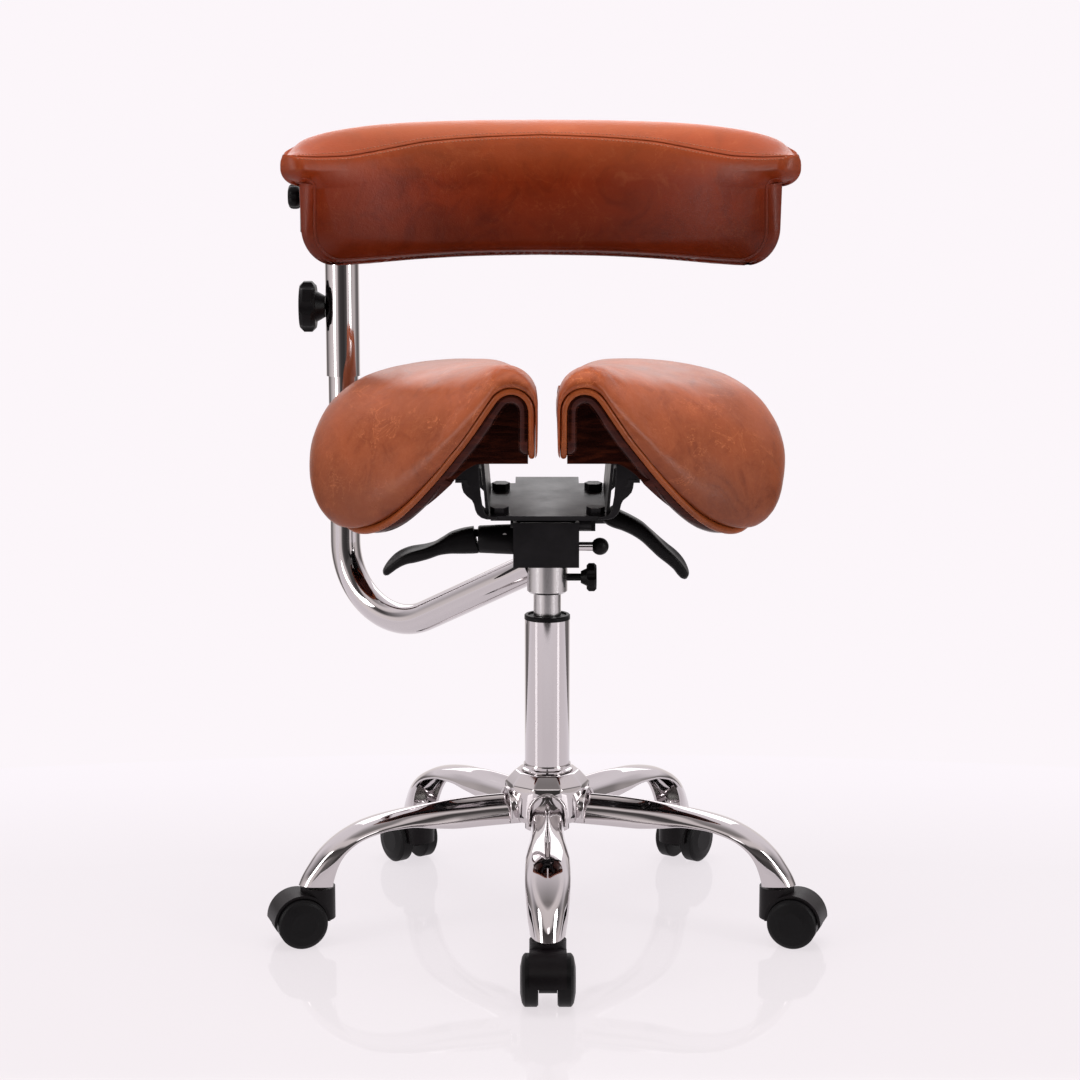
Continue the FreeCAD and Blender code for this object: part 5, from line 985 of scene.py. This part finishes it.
def welt_line():
    """Angles and heights of the seam round the front panel, a little inside its outline."""
    rise = np.linspace(EAR_BOTTOM + 2, PAD_LOW + 1, 120)
    right = np.stack([np.radians(side_angle(rise)) * PAD_UNROLL, rise], axis=1)
    foot = np.linspace(1, -1, 260) * side_angle(PAD_LOW + 1)
    base = np.stack([np.radians(foot) * PAD_UNROLL, pad_heights(foot)[2]], axis=1)
    line = np.vstack([right, base[1:-1], (right * [-1, 1])[::-1]])
    steps = np.concatenate([[0], np.cumsum(np.linalg.norm(np.diff(line, axis=0), axis=1))])
    even = np.linspace(0, steps[-1], 420)
    line = np.stack([np.interp(even, steps, line[:, axis]) for axis in (0, 1)], axis=1)
    for _ in range(12):
        line[1:-1] = (line[:-2] + 2 * line[1:-1] + line[2:]) / 4
    way = unit(np.gradient(line, axis=0))
    inward = np.stack([way[:, 1], -way[:, 0]], axis=1)
    inward *= np.sign(np.sum(inward * (np.array([0, 730.0]) - line), axis=1))[:, None]
    inset = WELT_LOW + (WELT_SIDE - WELT_LOW) * np.clip(np.abs(way[:, 1]), 0, 1)
    line = line + inward * inset[:, None]
    return np.degrees(line[:, 0] / PAD_UNROLL), line[:, 1]


def pad_welt(cushion):
    """A fine piping cord along the seam between the front panel and the side band."""
    angles, heights = welt_line()
    outward = np.stack([np.sin(np.radians(angles)), np.cos(np.radians(angles)), 0 * angles], axis=1)
    points, normals = cast_line(surface_of(cushion), pad_place(angles, 330, heights), outward)
    points, normals = np.array(points), smooth_loop(unit(normals), 6)
    points[1:-1] = (points[:-2] + 2 * points[1:-1] + points[2:]) / 4
    way = unit(np.gradient(points, axis=0))
    aside = unit(np.cross(way, normals))
    turns = np.linspace(0, 2 * math.pi, WELT_SIDES, endpoint=False)
    rings = []
    for place in range(len(points)):
        taper = min(1.0, 0.25 + min(place, len(points) - 1 - place) / 4)
        rings.append([points[place] + (aside[place] * math.cos(turn) + normals[place] * math.sin(turn))
                      * WELT_RADIUS * taper * MM for turn in turns])
    points = np.array(rings).reshape(-1, 3)
    return recalculate(mesh_object("pad_welt", points, closed_rings(rings), pad_leather))


pad_piece = pad_cushion()
cushion_piece(pad_piece, "pad", "pad_cushion")
for row in pad_stitches(pad_piece):
    rigid_piece(row, "pad", "leather")
rigid_piece(pad_welt(pad_piece), "pad", "leather")
board = pad_board()
rigid_piece(board, "pad", "leather", "pad_back_panel")


# Star base: a ten-sided hub and five polished arms, ridged on top and hollow underneath

ARM_FOOT, CASTOR_REACH = 59.8, 243.0
# Reach and height of the top line, reach and height of the foot line, half width
ARM_LINES = np.array([
    (21.9, 137.0, 21.9, 108.5, 17.2), (60.7, 137.0, 60.7, 108.5, 16.8),
    (97.0, 135.8, 97.0, 108.3, 17.2), (125.0, 133.2, 124.0, 110.8, 18.6),
    (153.0, 129.8, 150.0, 114.2, 20.0), (175.0, 126.0, 171.0, 113.6, 21.2),
    (195.0, 120.9, 190.0, 109.6, 21.8), (210.0, 114.6, 203.4, 104.6, 21.9),
    (222.8, 107.6, 213.6, 97.6, 21.6), (234.0, 99.6, 221.4, 88.8, 20.9),
    (243.6, 90.6, 226.0, 79.8, 20.0), (252.0, 79.2, 229.0, 70.4, 18.9),
    (259.2, 67.5, 230.6, 63.0, 17.6), (264.8, 54.0, 231.6, 53.6, 16.6)])
# Half sections from the ridge to the foot: (share of the half width, share of the depth)
ROOT_SECTION = [
    (0, 1.0), (0.08, 0.99), (0.15, 0.94), (0.24, 0.86), (0.38, 0.79), (0.56, 0.74), (0.72, 0.68),
    (0.82, 0.60), (0.90, 0.48), (0.96, 0.32), (1.0, 0.16), (0.985, 0.04), (0.92, 0.0)]
BEND_SECTION = [
    (0, 1.0), (0.10, 0.995), (0.22, 0.975), (0.36, 0.935), (0.50, 0.875), (0.63, 0.80), (0.73, 0.71),
    (0.80, 0.61), (0.90, 0.44), (0.98, 0.26), (1.0, 0.12), (0.985, 0.03), (0.92, 0.0)]
HOLLOW_SECTION = [
    (0.86, 0.0), (0.80, 0.02), (0.78, 0.22), (0.68, 0.42), (0.46, 0.56), (0.22, 0.62), (0, 0.64)]
ARM_COMMON = 0.5
ARM_SHARES = np.concatenate([np.linspace(0, ARM_COMMON, 30)[:-1], np.linspace(ARM_COMMON, 1.0, 46)])
ARM_STEPS = np.concatenate([[0], np.cumsum(np.linalg.norm(np.diff(ARM_LINES[:, :2], axis=0), axis=1))])
ARM_STEPS /= ARM_STEPS[-1]


def arm_lines(run):
    return [float(hermite(ARM_STEPS, ARM_LINES[:, column], [run])[0]) for column in range(5)]


def arm_point(run, across, height):
    """A place on the arm: by share along it, share of the half width and share of the depth."""
    top_x, top_z, foot_x, foot_z, half = arm_lines(run)
    return (foot_x + (top_x - foot_x) * height, across * half, foot_z + (top_z - foot_z) * height)


def arm_end(height):
    """Run at which the line at this height share reaches the level end of the arm."""
    low, high = ARM_COMMON, 1.0
    for _ in range(30):
        middle = (low + high) / 2
        if arm_point(middle, 0, height)[2] > ARM_FOOT:
            low = middle
        else:
            high = middle
    return (low + high) / 2


def arm_section(run):
    """Half section at a run: ridged near the hub, a broad crowned face over the bend."""
    blend = float(hermite([0, 0.22, 0.5, 1], [0, 0.0, 1, 1], [run])[0])
    outer = [(a[0] + (b[0] - a[0]) * blend, a[1] + (b[1] - a[1]) * blend)
             for a, b in zip(ROOT_SECTION, BEND_SECTION)]
    open_share = float(hermite([0, 0.12, 0.17, 1], [0, 0, 1, 1], [run])[0])
    return outer + [(across, height * open_share) for across, height in HOLLOW_SECTION]


def arm_grid():
    """Rows of points along one arm that lies along +X."""
    half = len(ROOT_SECTION) + len(HOLLOW_SECTION)
    ends = [arm_end(height) for _, height in BEND_SECTION + HOLLOW_SECTION]
    rows = []
    for share in ARM_SHARES:
        row = []
        for side in (1, -1):
            order = range(half) if side == 1 else range(half - 2, 0, -1)
            for index in order:
                run = share
                if share > ARM_COMMON:
                    run = ARM_COMMON + (ends[index] - ARM_COMMON) * (share - ARM_COMMON) / (1 - ARM_COMMON)
                across, height = arm_section(run)[index]
                row.append(arm_point(run, side * across, height))
        rows.append(row)
    return np.array(rows)


def turned_tube(name, rows, angle):
    """A closed tube of rings about the column, turned to an arm's direction."""
    points = rows.reshape(-1, 3)
    faces = closed_rings(rows)
    faces[-1] = faces[-1][::-1]
    cosine, sine = math.cos(angle), math.sin(angle)
    turned = np.stack([points[:, 0] * cosine - points[:, 1] * sine,
                       points[:, 0] * sine + points[:, 1] * cosine, points[:, 2]], axis=1)
    return recalculate(mesh_object(name, turned * MM, faces, chrome))


def arm_mesh(rows, angle, number):
    obj = turned_tube(f"star_arm_{number}", rows, angle)
    soft_edge(obj, 0.9, 50)
    return obj


def lathe(name, profile, sides, corner_sides=None, centre=(0.0, 0.0)):
    """A turned chrome ring; rings marked with a corner share are drawn towards a polygon."""
    rings = []
    for radius, height, corner in profile:
        ring = []
        for step in range(sides):
            turn = 2 * math.pi * step / sides
            reach = radius
            if corner_sides:
                part = 2 * math.pi / corner_sides
                offset = (turn + part / 2) % part - part / 2
                flat = math.cos(part / 2) / math.cos(offset)
                reach = radius * (1 + (flat - 1) * corner)
            ring.append((centre[0] + reach * math.cos(turn + HUB_TURN),
                         centre[1] + reach * math.sin(turn + HUB_TURN), height))
        rings.append(ring)
    points = np.array(rings).reshape(-1, 3)
    faces = grid_faces(len(rings), sides, wrap_columns=True)
    return recalculate(mesh_object(name, points * MM, faces, chrome))


HUB_TURN = math.radians(-90)
HUB_PROFILE = [
    (23.2, 109.8, 0), (38.0, 109.8, 0), (41.0, 110.6, 0), (42.4, 112.6, 0), (42.9, 118.0, 0.2),
    (43.1, 140.0, 0.5), (43.4, 146.6, 1.0), (43.0, 147.6, 1.0), (42.2, 148.4, 1.0), (33.6, 157.6, 1.0),
    (32.6, 158.4, 1.0), (31.0, 158.8, 1.0), (27.6, 158.8, 0.5), (23.2, 158.8, 0), (23.2, 109.8, 0)]
BOSS_PROFILE = [(8.05, 59.9, 0), (10.2, 59.9, 0), (10.9, 60.6, 0), (11.2, 70.0, 0), (11.2, 74.0, 0),
                (8.05, 74.0, 0), (8.05, 59.9, 0)]
ARCH_RINGS = [(30.0, 0.0), (43.8, 0.0), (44.8, 0.4), (45.4, 1.3), (45.2, 2.4), (43.6, 3.2), (40.0, 3.4)]


def arch_rings():
    """The arched lip round the root of the arm along +X."""
    rings = []
    for reach, inset in ARCH_RINGS:
        half, top, spring, foot = 20.4 - inset, 143.6 - inset, 122.0, 110.2
        ring = [(half, foot), (half, 116.0), (half, spring)]
        ring += [(half * math.cos(turn), spring + (top - spring) * math.sin(turn))
                 for turn in np.linspace(0, math.pi, 25)[1:-1]]
        ring += [(-half, spring), (-half, 116.0), (-half, foot)]
        rings.append([(reach, across, height) for across, height in ring])
    return np.array(rings)


def socket_boss(angle, number):
    """The boss inside an arm's end, round the castor's sleeve."""
    place = (CASTOR_REACH * math.cos(angle), CASTOR_REACH * math.sin(angle))
    return lathe(f"socket_boss_{number}", BOSS_PROFILE, 40, centre=place)


rigid_piece(lathe("star_hub", HUB_PROFILE, 120, corner_sides=10), "base", "chrome", "star_base")
arm_rows, arch_rows = arm_grid(), arch_rings()
for number in range(1, 6):
    arm_angle = math.radians(-90 + 72 * (number - 1))
    for piece in (arm_mesh(arm_rows, arm_angle, number),
                  turned_tube(f"hub_arch_{number}", arch_rows, arm_angle), socket_boss(arm_angle, number)):
        rigid_piece(piece, "base", "chrome", "star_base")


# Levers, barrel and the folded corner plates of the cradle

# Place and height of the middle, half thickness, half width, dish of the upper face
LEFT_LEVER = [
    (-71.9, 398.4, 12.4, 11.6, 0), (-72.7, 398.2, 13.8, 13.0, 0), (-81.4, 397.3, 13.3, 13.6, 0),
    (-93.6, 395.4, 11.6, 13.2, 0), (-103.8, 392.6, 9.2, 13.2, 0.1), (-113.4, 389.4, 7.7, 13.6, 0.25),
    (-123.6, 386.4, 8.1, 14.4, 0.4), (-135.3, 384.0, 8.6, 14.8, 0.5), (-143.7, 381.6, 7.7, 14.6, 0.5),
    (-150.3, 378.2, 6.7, 13.8, 0.4), (-155.9, 373.8, 5.7, 12.4, 0.3), (-161.0, 368.4, 4.6, 10.2, 0.1),
    (-164.4, 364.0, 3.2, 7.0, 0), (-165.6, 362.2, 1.4, 3.2, 0)]
RIGHT_LEVER = [
    (60.6, 419.4, 7.4, 11.0, 0), (61.4, 418.8, 8.8, 12.2, 0), (68.6, 414.6, 9.8, 13.0, 0),
    (80.2, 409.8, 9.1, 13.2, 0), (91.7, 403.9, 8.6, 13.2, 0), (101.8, 396.9, 8.3, 13.2, 0.15),
    (111.3, 388.7, 8.6, 13.2, 0.35), (120.5, 380.6, 9.0, 13.2, 0.5), (129.8, 372.9, 8.7, 12.8, 0.5),
    (136.1, 365.9, 7.8, 11.8, 0.4), (140.2, 358.4, 6.6, 10.0, 0.2), (142.2, 353.2, 4.4, 7.2, 0),
    (143.0, 350.8, 1.8, 3.4, 0)]
LEVER_ROWS, LEVER_SIDES, LEVER_TWIST = 90, 48, 24.0


def lever_rings(table, y):
    """A moulded lever along a curved line: rounded sections with a dished thumb face."""
    table = np.array(table)
    run = np.concatenate([[0], np.cumsum(np.linalg.norm(np.diff(table[:, :2], axis=0), axis=1))])
    run /= run[-1]
    places = (1 - np.cos(np.linspace(0, math.pi, LEVER_ROWS))) / 2
    x, z, half, wide, dish = [hermite(run, table[:, column], places) for column in range(5)]
    tangent = unit(np.stack([np.gradient(x), np.gradient(z)], axis=1))
    normal = np.stack([-tangent[:, 1], tangent[:, 0]], axis=1)
    normal *= np.sign(normal[:, 1:2])
    rings = []
    for row in range(LEVER_ROWS):
        twist = math.radians(LEVER_TWIST) * np.clip((places[row] - 0.4) / 0.4, 0, 1)
        ring = []
        for side in range(LEVER_SIDES):
            turn = 2 * math.pi * side / LEVER_SIDES
            across = math.copysign(abs(math.cos(turn)) ** 0.72, math.cos(turn))
            up = math.copysign(abs(math.sin(turn)) ** 0.72, math.sin(turn))
            if up > 0:
                up *= 1 - dish[row] * (1 - across ** 2)
            width, height = across * wide[row], up * half[row]
            width, height = (width * math.cos(twist) - height * math.sin(twist),
                             width * math.sin(twist) * 0.5 + height * math.cos(twist))
            ring.append((x[row] + normal[row, 0] * height, y + width, z[row] + normal[row, 1] * height))
        rings.append(ring)
    return rings


def rod_rings(profile, z, sides=72):
    """Rings about a level line along X, from (x, radius) places."""
    turns = [2 * math.pi * side / sides for side in range(sides)]
    return [[(x, radius * math.cos(turn), z + radius * math.sin(turn)) for turn in turns]
            for x, radius in profile]


def ring_mesh(name, parts):
    """Closed tubes of rings, in millimetres, as one black moulding."""
    points, faces = [], []
    for rings in parts:
        faces += closed_rings(rings, len(points))
        points += [point for ring in rings for point in ring]
    return recalculate(mesh_object(name, np.array(points) * MM, faces, moulded_black))


BARREL_Z, ROD_Z, RIGHT_LEVER_Y = 398.6, 405.0, 40.0
BARREL_PROFILE = [(-34.1, 3.0), (-34.1, 15.2), (-35.0, 15.4), (-52.0, 14.8), (-54.0, 14.6), (-68.6, 14.0),
                  (-69.8, 13.2), (-70.2, 12.2), (-70.2, 3.0)]
ROD_PROFILE = [(6.0, 3.4), (5.4, 4.0), (-84.0, 4.0), (-84.6, 3.4)]

# The small hand knob behind the pad: (place along X, radius, share of the lobes)
KNOB_PROFILE = [
    (-235.6, 3.4, 0), (-254.6, 3.7, 0), (-254.8, 6.6, 0), (-258.6, 7.4, 0), (-259.6, 9.6, 0.5),
    (-260.4, 11.8, 0.9), (-261.8, 13.0, 1), (-264.0, 13.5, 1), (-267.6, 13.5, 1), (-270.0, 12.9, 1),
    (-271.6, 11.4, 0.8), (-272.5, 8.6, 0.4), (-272.9, 4.6, 0), (-273.0, 1.0, 0)]
KNOB_CENTRE, KNOB_LOBES, KNOB_DEPTH, KNOB_SIDES = (158.0, 738.2), 5, 0.16, 90


def star_knob(name):
    rings = []
    for x, radius, lobed in KNOB_PROFILE:
        ring = []
        for side in range(KNOB_SIDES):
            turn = 2 * math.pi * side / KNOB_SIDES
            reach = radius * (1 - KNOB_DEPTH * lobed * (1 - abs(math.cos(KNOB_LOBES * turn / 2)) ** 0.7))
            ring.append((x, KNOB_CENTRE[0] + reach * math.cos(turn),
                         KNOB_CENTRE[1] + reach * math.sin(turn)))
        rings.append(ring)
    return ring_mesh(name, [rings])


CORNER_PLACES, CORNER_THICK = (-75.6, 55.0), 3.0
CORNER_OUTLINE = [
    (50.0, 430.4), (59.6, 430.6), (65.0, 432.2), (69.0, 435.6), (71.0, 440.0), (72.4, 446.0), (74.2, 449.6),
    (79.0, 453.6), (82.4, 457.4), (83.9, 462.0), (84.8, 468.4), (86.4, 470.4), (96.6, 471.0), (96.6, 474.6),
    (86.0, 479.0), (80.0, 486.0), (67.2, 486.0), (66.4, 466.0), (65.4, 454.0), (63.4, 441.6),
    (60.6, 436.0), (57.0, 433.6), (50.0, 433.4)]


def corner_plates(side, word):
    """Stamped plates that close the folded corner of the cradle, front and rear."""
    points, faces = [], []
    count = len(CORNER_OUTLINE)
    for front in CORNER_PLACES:
        start = len(points)
        lift = (front - CORNER_PLACES[0]) * math.tan(SEAT_PITCH)
        for y in (front, front + CORNER_THICK):
            points += [(side * x, y, z + lift) for x, z in CORNER_OUTLINE]
        faces += [tuple(start + step for step in range(count)),
                  tuple(start + count + step for step in range(count))]
        faces += [(start + step, start + (step + 1) % count, start + count + (step + 1) % count,
                   start + count + step) for step in range(count)]
    obj = mesh_object(word + "_cradle_corner", np.array(points) * MM, faces, powder_coat)
    soft_edge(recalculate(obj, smooth=False), 0.7, 40, harden=False)
    return obj


left_paddle = ring_mesh("height_lever_paddle", [lever_rings(LEFT_LEVER, 0.0),
                                                 rod_rings(ROD_PROFILE, ROD_Z)])
right_paddle = ring_mesh("tilt_lever_paddle", [lever_rings(RIGHT_LEVER, RIGHT_LEVER_Y)])
barrel = ring_mesh("left_lever_collar", [rod_rings(BARREL_PROFILE, BARREL_Z)])
rigid_piece(left_paddle, "height_handle", "black_plastic", "height_lever", "height_lever_shaft")
rigid_piece(right_paddle, "tilt_handle", "black_plastic", "tilt_lever")
rigid_piece(barrel, "column", "black_plastic", "left_lever_barrel")
rigid_piece(star_knob("pad_knob_grip"), "pad_clamp", "black_plastic", "pad_knob")
for side, word in ((-1, "left"), (1, "right")):
    rigid_piece(corner_plates(side, word), "seat", "black_steel")


# Carried-over CAD nodes: materials and softened edges

def dress(material, bevel, *names):
    for name in names:
        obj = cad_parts[name]
        obj.data.materials.clear()
        obj.data.materials.append(material)
        if bevel:
            soft_edge(obj, bevel, 35)


CASTORS = range(1, 6)
dress(chrome, 0, "arm_tube")
dress(chrome, 0.4, "stand_tube", "hub_trim_ring", "upper_sleeve", "plunger_shaft")
dress(satin_steel, 0.5, "gas_cylinder", "arm_collar")
dress(powder_coat, 1.0, "mechanism_housing")
dress(powder_coat, 0.6, "tilt_bracket", "seat_cradle", "cradle_bolts", "tilt_axle", "pad_bracket")
dress(powder_coat, 0, "tilt_lever_shaft")
dress(moulded_black, 0.5, "guide_bush", "release_pin")
dress(moulded_black, 0.8, "plunger_ball", "collar_knob", "height_knob")
dress(castor_black, 0.8, *[f"castor_housing_{i}" for i in CASTORS])
dress(tread_black, 0.9, *[f"castor_wheel_{i}_{w}" for i in CASTORS for w in "ab"])
dress(zinc, 0, "castor_stems", "thrust_bearing", "rod_clip", "lever_pivot_pins", "tilt_spring",
      "piston_rod", "pad_screws", "shell_screws")
dress(nylon, 0, "stem_sockets", "collar_bush", "sleeve_bushes")


# Floor, backdrop, light and camera

def shown_as(nodes, links, lit, shown, share):
    """Mix a lit shader with a plain tone that the camera and polished surfaces see."""
    path = nodes.new("ShaderNodeLightPath")
    view = math_node(nodes, links, "MAXIMUM", path.outputs["Is Camera Ray"], path.outputs["Is Glossy Ray"])
    view = math_node(nodes, links, "MAXIMUM", view, path.outputs["Is Transmission Ray"])
    blend = nodes.new("ShaderNodeMixShader")
    links.new(math_node(nodes, links, "MULTIPLY", view, share), blend.inputs["Fac"])
    links.new(lit, blend.inputs[1])
    links.new(shown, blend.inputs[2])
    return blend.outputs["Shader"]


FLOOR_TONE = (0.985, 0.92, 0.955)
FAR_TONE = (0.982, 0.93, 0.975)
WALL_TONE = (0.973, 0.922, 0.956)
SWEEP_CENTRE, SWEEP_RADIUS, FLOOR_FRONT, FLOOR_FADE = (0.0, -2.571, 0.0), 3.243, -1.5, -0.75


def pale_floor():
    """A wide round floor with a soft gloss; its rim takes the wall tone."""
    rim = SWEEP_RADIUS + 0.02
    start = math.asin((FLOOR_FRONT - SWEEP_CENTRE[1]) / rim)
    turns = [start + (math.pi - 2 * start) * step / 120 for step in range(121)]
    points = [(SWEEP_CENTRE[0] + rim * math.cos(turn), SWEEP_CENTRE[1] + rim * math.sin(turn), 0)
              for turn in turns]
    material, nodes, links, shader = principled("pale_floor", (0.60, 0.57, 0.585), 0.05,
                                                Specular_IOR_Level=1.0)
    vector = coordinates(nodes, links)
    smear = noise_node(nodes, links, vector, 5, 3)
    links.new(ramp(nodes, links, smear, [(0.3, grey(0.03)), (0.8, grey(0.06))]),
              shader.inputs["Roughness"])
    away = nodes.new("ShaderNodeVectorMath")
    away.operation = "DISTANCE"
    links.new(vector, away.inputs[0])
    away.inputs[1].default_value = SWEEP_CENTRE
    share = map_range(nodes, links, away.outputs["Value"], SWEEP_RADIUS - 0.9, SWEEP_RADIUS + 0.1)
    tone = ramp(nodes, links, share,
                [(0.0, FLOOR_TONE), (0.86, FAR_TONE), (0.90, FAR_TONE), (0.912, WALL_TONE)])
    split = nodes.new("ShaderNodeSeparateXYZ")
    links.new(vector, split.inputs["Vector"])
    near = map_range(nodes, links, split.outputs["Y"], FLOOR_FADE, FLOOR_FRONT + 0.05)
    front = ramp(nodes, links, near, [(0.0, grey(0.0)), (1.0, grey(1.0))])
    tone = mix(nodes, links, front, tone, WALL_TONE)
    glow = nodes.new("ShaderNodeEmission")
    links.new(tone, glow.inputs["Color"])
    weight = ramp(nodes, links, share,
                  [(0.0, grey(0.72)), (0.45, grey(0.74)), (0.80, grey(0.96)), (0.91, grey(1.0))])
    weight = mix(nodes, links, front, weight, grey(1.0))
    links.new(shown_as(nodes, links, shader.outputs["BSDF"], glow.outputs["Emission"], weight),
              nodes["Material Output"].inputs["Surface"])
    mesh_object("floor", points, [tuple(range(len(points)))], material)


# Brightness of the studio seen by polished surfaces, by direction round from the front
STUDIO_ROUND = [(-180, 0.92), (-152, 0.90), (-140, 0.22), (-122, 0.16), (-108, 0.50), (-92, 0.74),
                (-70, 0.98), (-40, 0.92), (-29, 0.80), (-24, 0.20), (-12, 0.07), (12, 0.05),
                (33, 0.13), (37, 0.95), (46, 0.98), (51, 0.50), (70, 0.70), (92, 0.74),
                (106, 0.30), (120, 0.16), (138, 0.24), (150, 0.88), (180, 0.92)]


def studio_world():
    """Soft light all round; polished surfaces see pale panels, dark gaps and a dark ceiling band."""
    world = bpy.data.worlds.new("studio")
    scene.world = world
    world.use_nodes = True
    nodes, links = world.node_tree.nodes, world.node_tree.links
    background = nodes["Background"]
    source = nodes.new("ShaderNodeTexCoord")
    split = nodes.new("ShaderNodeSeparateXYZ")
    links.new(source.outputs["Generated"], split.inputs["Vector"])
    forward = math_node(nodes, links, "MULTIPLY", split.outputs["Y"], -1.0)
    height = ramp(nodes, links, split.outputs["Z"], [(0.0, grey(0.30)), (1.0, grey(0.9))])
    facing = ramp(nodes, links, forward, [(0.0, grey(1.0)), (0.8, grey(0.35))])
    links.new(mix(nodes, links, 1.0, height, facing, "MULTIPLY"), background.inputs["Color"])
    background.inputs["Strength"].default_value = 0.55
    turn = math_node(nodes, links, "ARCTAN2", split.outputs["X"], forward)
    panels = ramp(nodes, links, map_range(nodes, links, turn, -math.pi, math.pi),
                  [((angle + 180) / 360, warm_grey(value)) for angle, value in STUDIO_ROUND])
    ceiling = ramp(nodes, links, split.outputs["Z"], [
        (0.0, warm_grey(0.40)), (0.30, warm_grey(0.12)), (0.56, warm_grey(0.07)), (0.68, warm_grey(0.85)),
        (0.82, warm_grey(0.9)), (0.90, warm_grey(0.32)), (1.0, warm_grey(0.26))])
    above = ramp(nodes, links, split.outputs["Z"], [(0.16, grey(0.0)), (0.34, grey(1.0))])
    ahead = map_range(nodes, links, forward, -0.5, 0.3)
    front = ramp(nodes, links, ahead, [(0.0, grey(0.0)), (1.0, grey(1.0))])
    over = mix(nodes, links, front, WALL_TONE, ceiling)
    seen = nodes.new("ShaderNodeBackground")
    links.new(mix(nodes, links, above, panels, over), seen.inputs["Color"])
    path = nodes.new("ShaderNodeLightPath")
    polished = math_node(nodes, links, "MAXIMUM", path.outputs["Is Glossy Ray"],
                         path.outputs["Is Transmission Ray"])
    inner = nodes.new("ShaderNodeMixShader")
    links.new(polished, inner.inputs["Fac"])
    links.new(background.outputs["Background"], inner.inputs[1])
    links.new(seen.outputs["Background"], inner.inputs[2])
    wall = nodes.new("ShaderNodeBackground")
    wall.inputs["Color"].default_value = (*WALL_TONE, 1)
    outer = nodes.new("ShaderNodeMixShader")
    links.new(path.outputs["Is Camera Ray"], outer.inputs["Fac"])
    links.new(inner.outputs["Shader"], outer.inputs[1])
    links.new(wall.outputs["Background"], outer.inputs[2])
    links.new(outer.outputs["Shader"], nodes["World Output"].inputs["Surface"])


def softbox(name, place, aim, size, power, mirrored=True):
    light = bpy.data.lights.new(name, "AREA")
    light.shape = "RECTANGLE"
    light.size, light.size_y = size
    light.energy = power
    obj = bpy.data.objects.new(name, light)
    scene.collection.objects.link(obj)
    obj.visible_glossy = mirrored
    obj.visible_camera = False
    obj.location = place
    obj.rotation_euler = (Vector(aim) - Vector(place)).to_track_quat("-Z", "Y").to_euler()


pale_floor()
studio_world()
softbox("top_light", (0, 0.1, 2.6), (0, 0, 0.4), (2.4, 1.8), 48, mirrored=False)
softbox("left_light", (-2.15, -1.35, 1.05), (0, 0, 0.6), (0.55, 1.7), 19)
softbox("right_light", (2.15, -1.35, 1.05), (0, 0, 0.6), (0.55, 1.7), 21)
softbox("front_light", (0.3, -2.6, 2.1), (0, 0, 0.5), (1.0, 0.5), 3)
softbox("rear_light", (0.0, 2.2, 1.7), (0, 0, 0.5), (2.4, 1.2), 14)

camera_data = bpy.data.cameras.new("camera")
camera_data.lens = 83.346
camera_data.sensor_width = 36
camera_data.clip_end = 50
camera = bpy.data.objects.new("camera", camera_data)
scene.collection.objects.link(camera)
camera.location = (-0.0074, -2.5, 0.81806)
camera.rotation_euler = (math.radians(90 - 9.545), 0, 0)
scene.camera = camera
scene.view_settings.view_transform = "Standard"
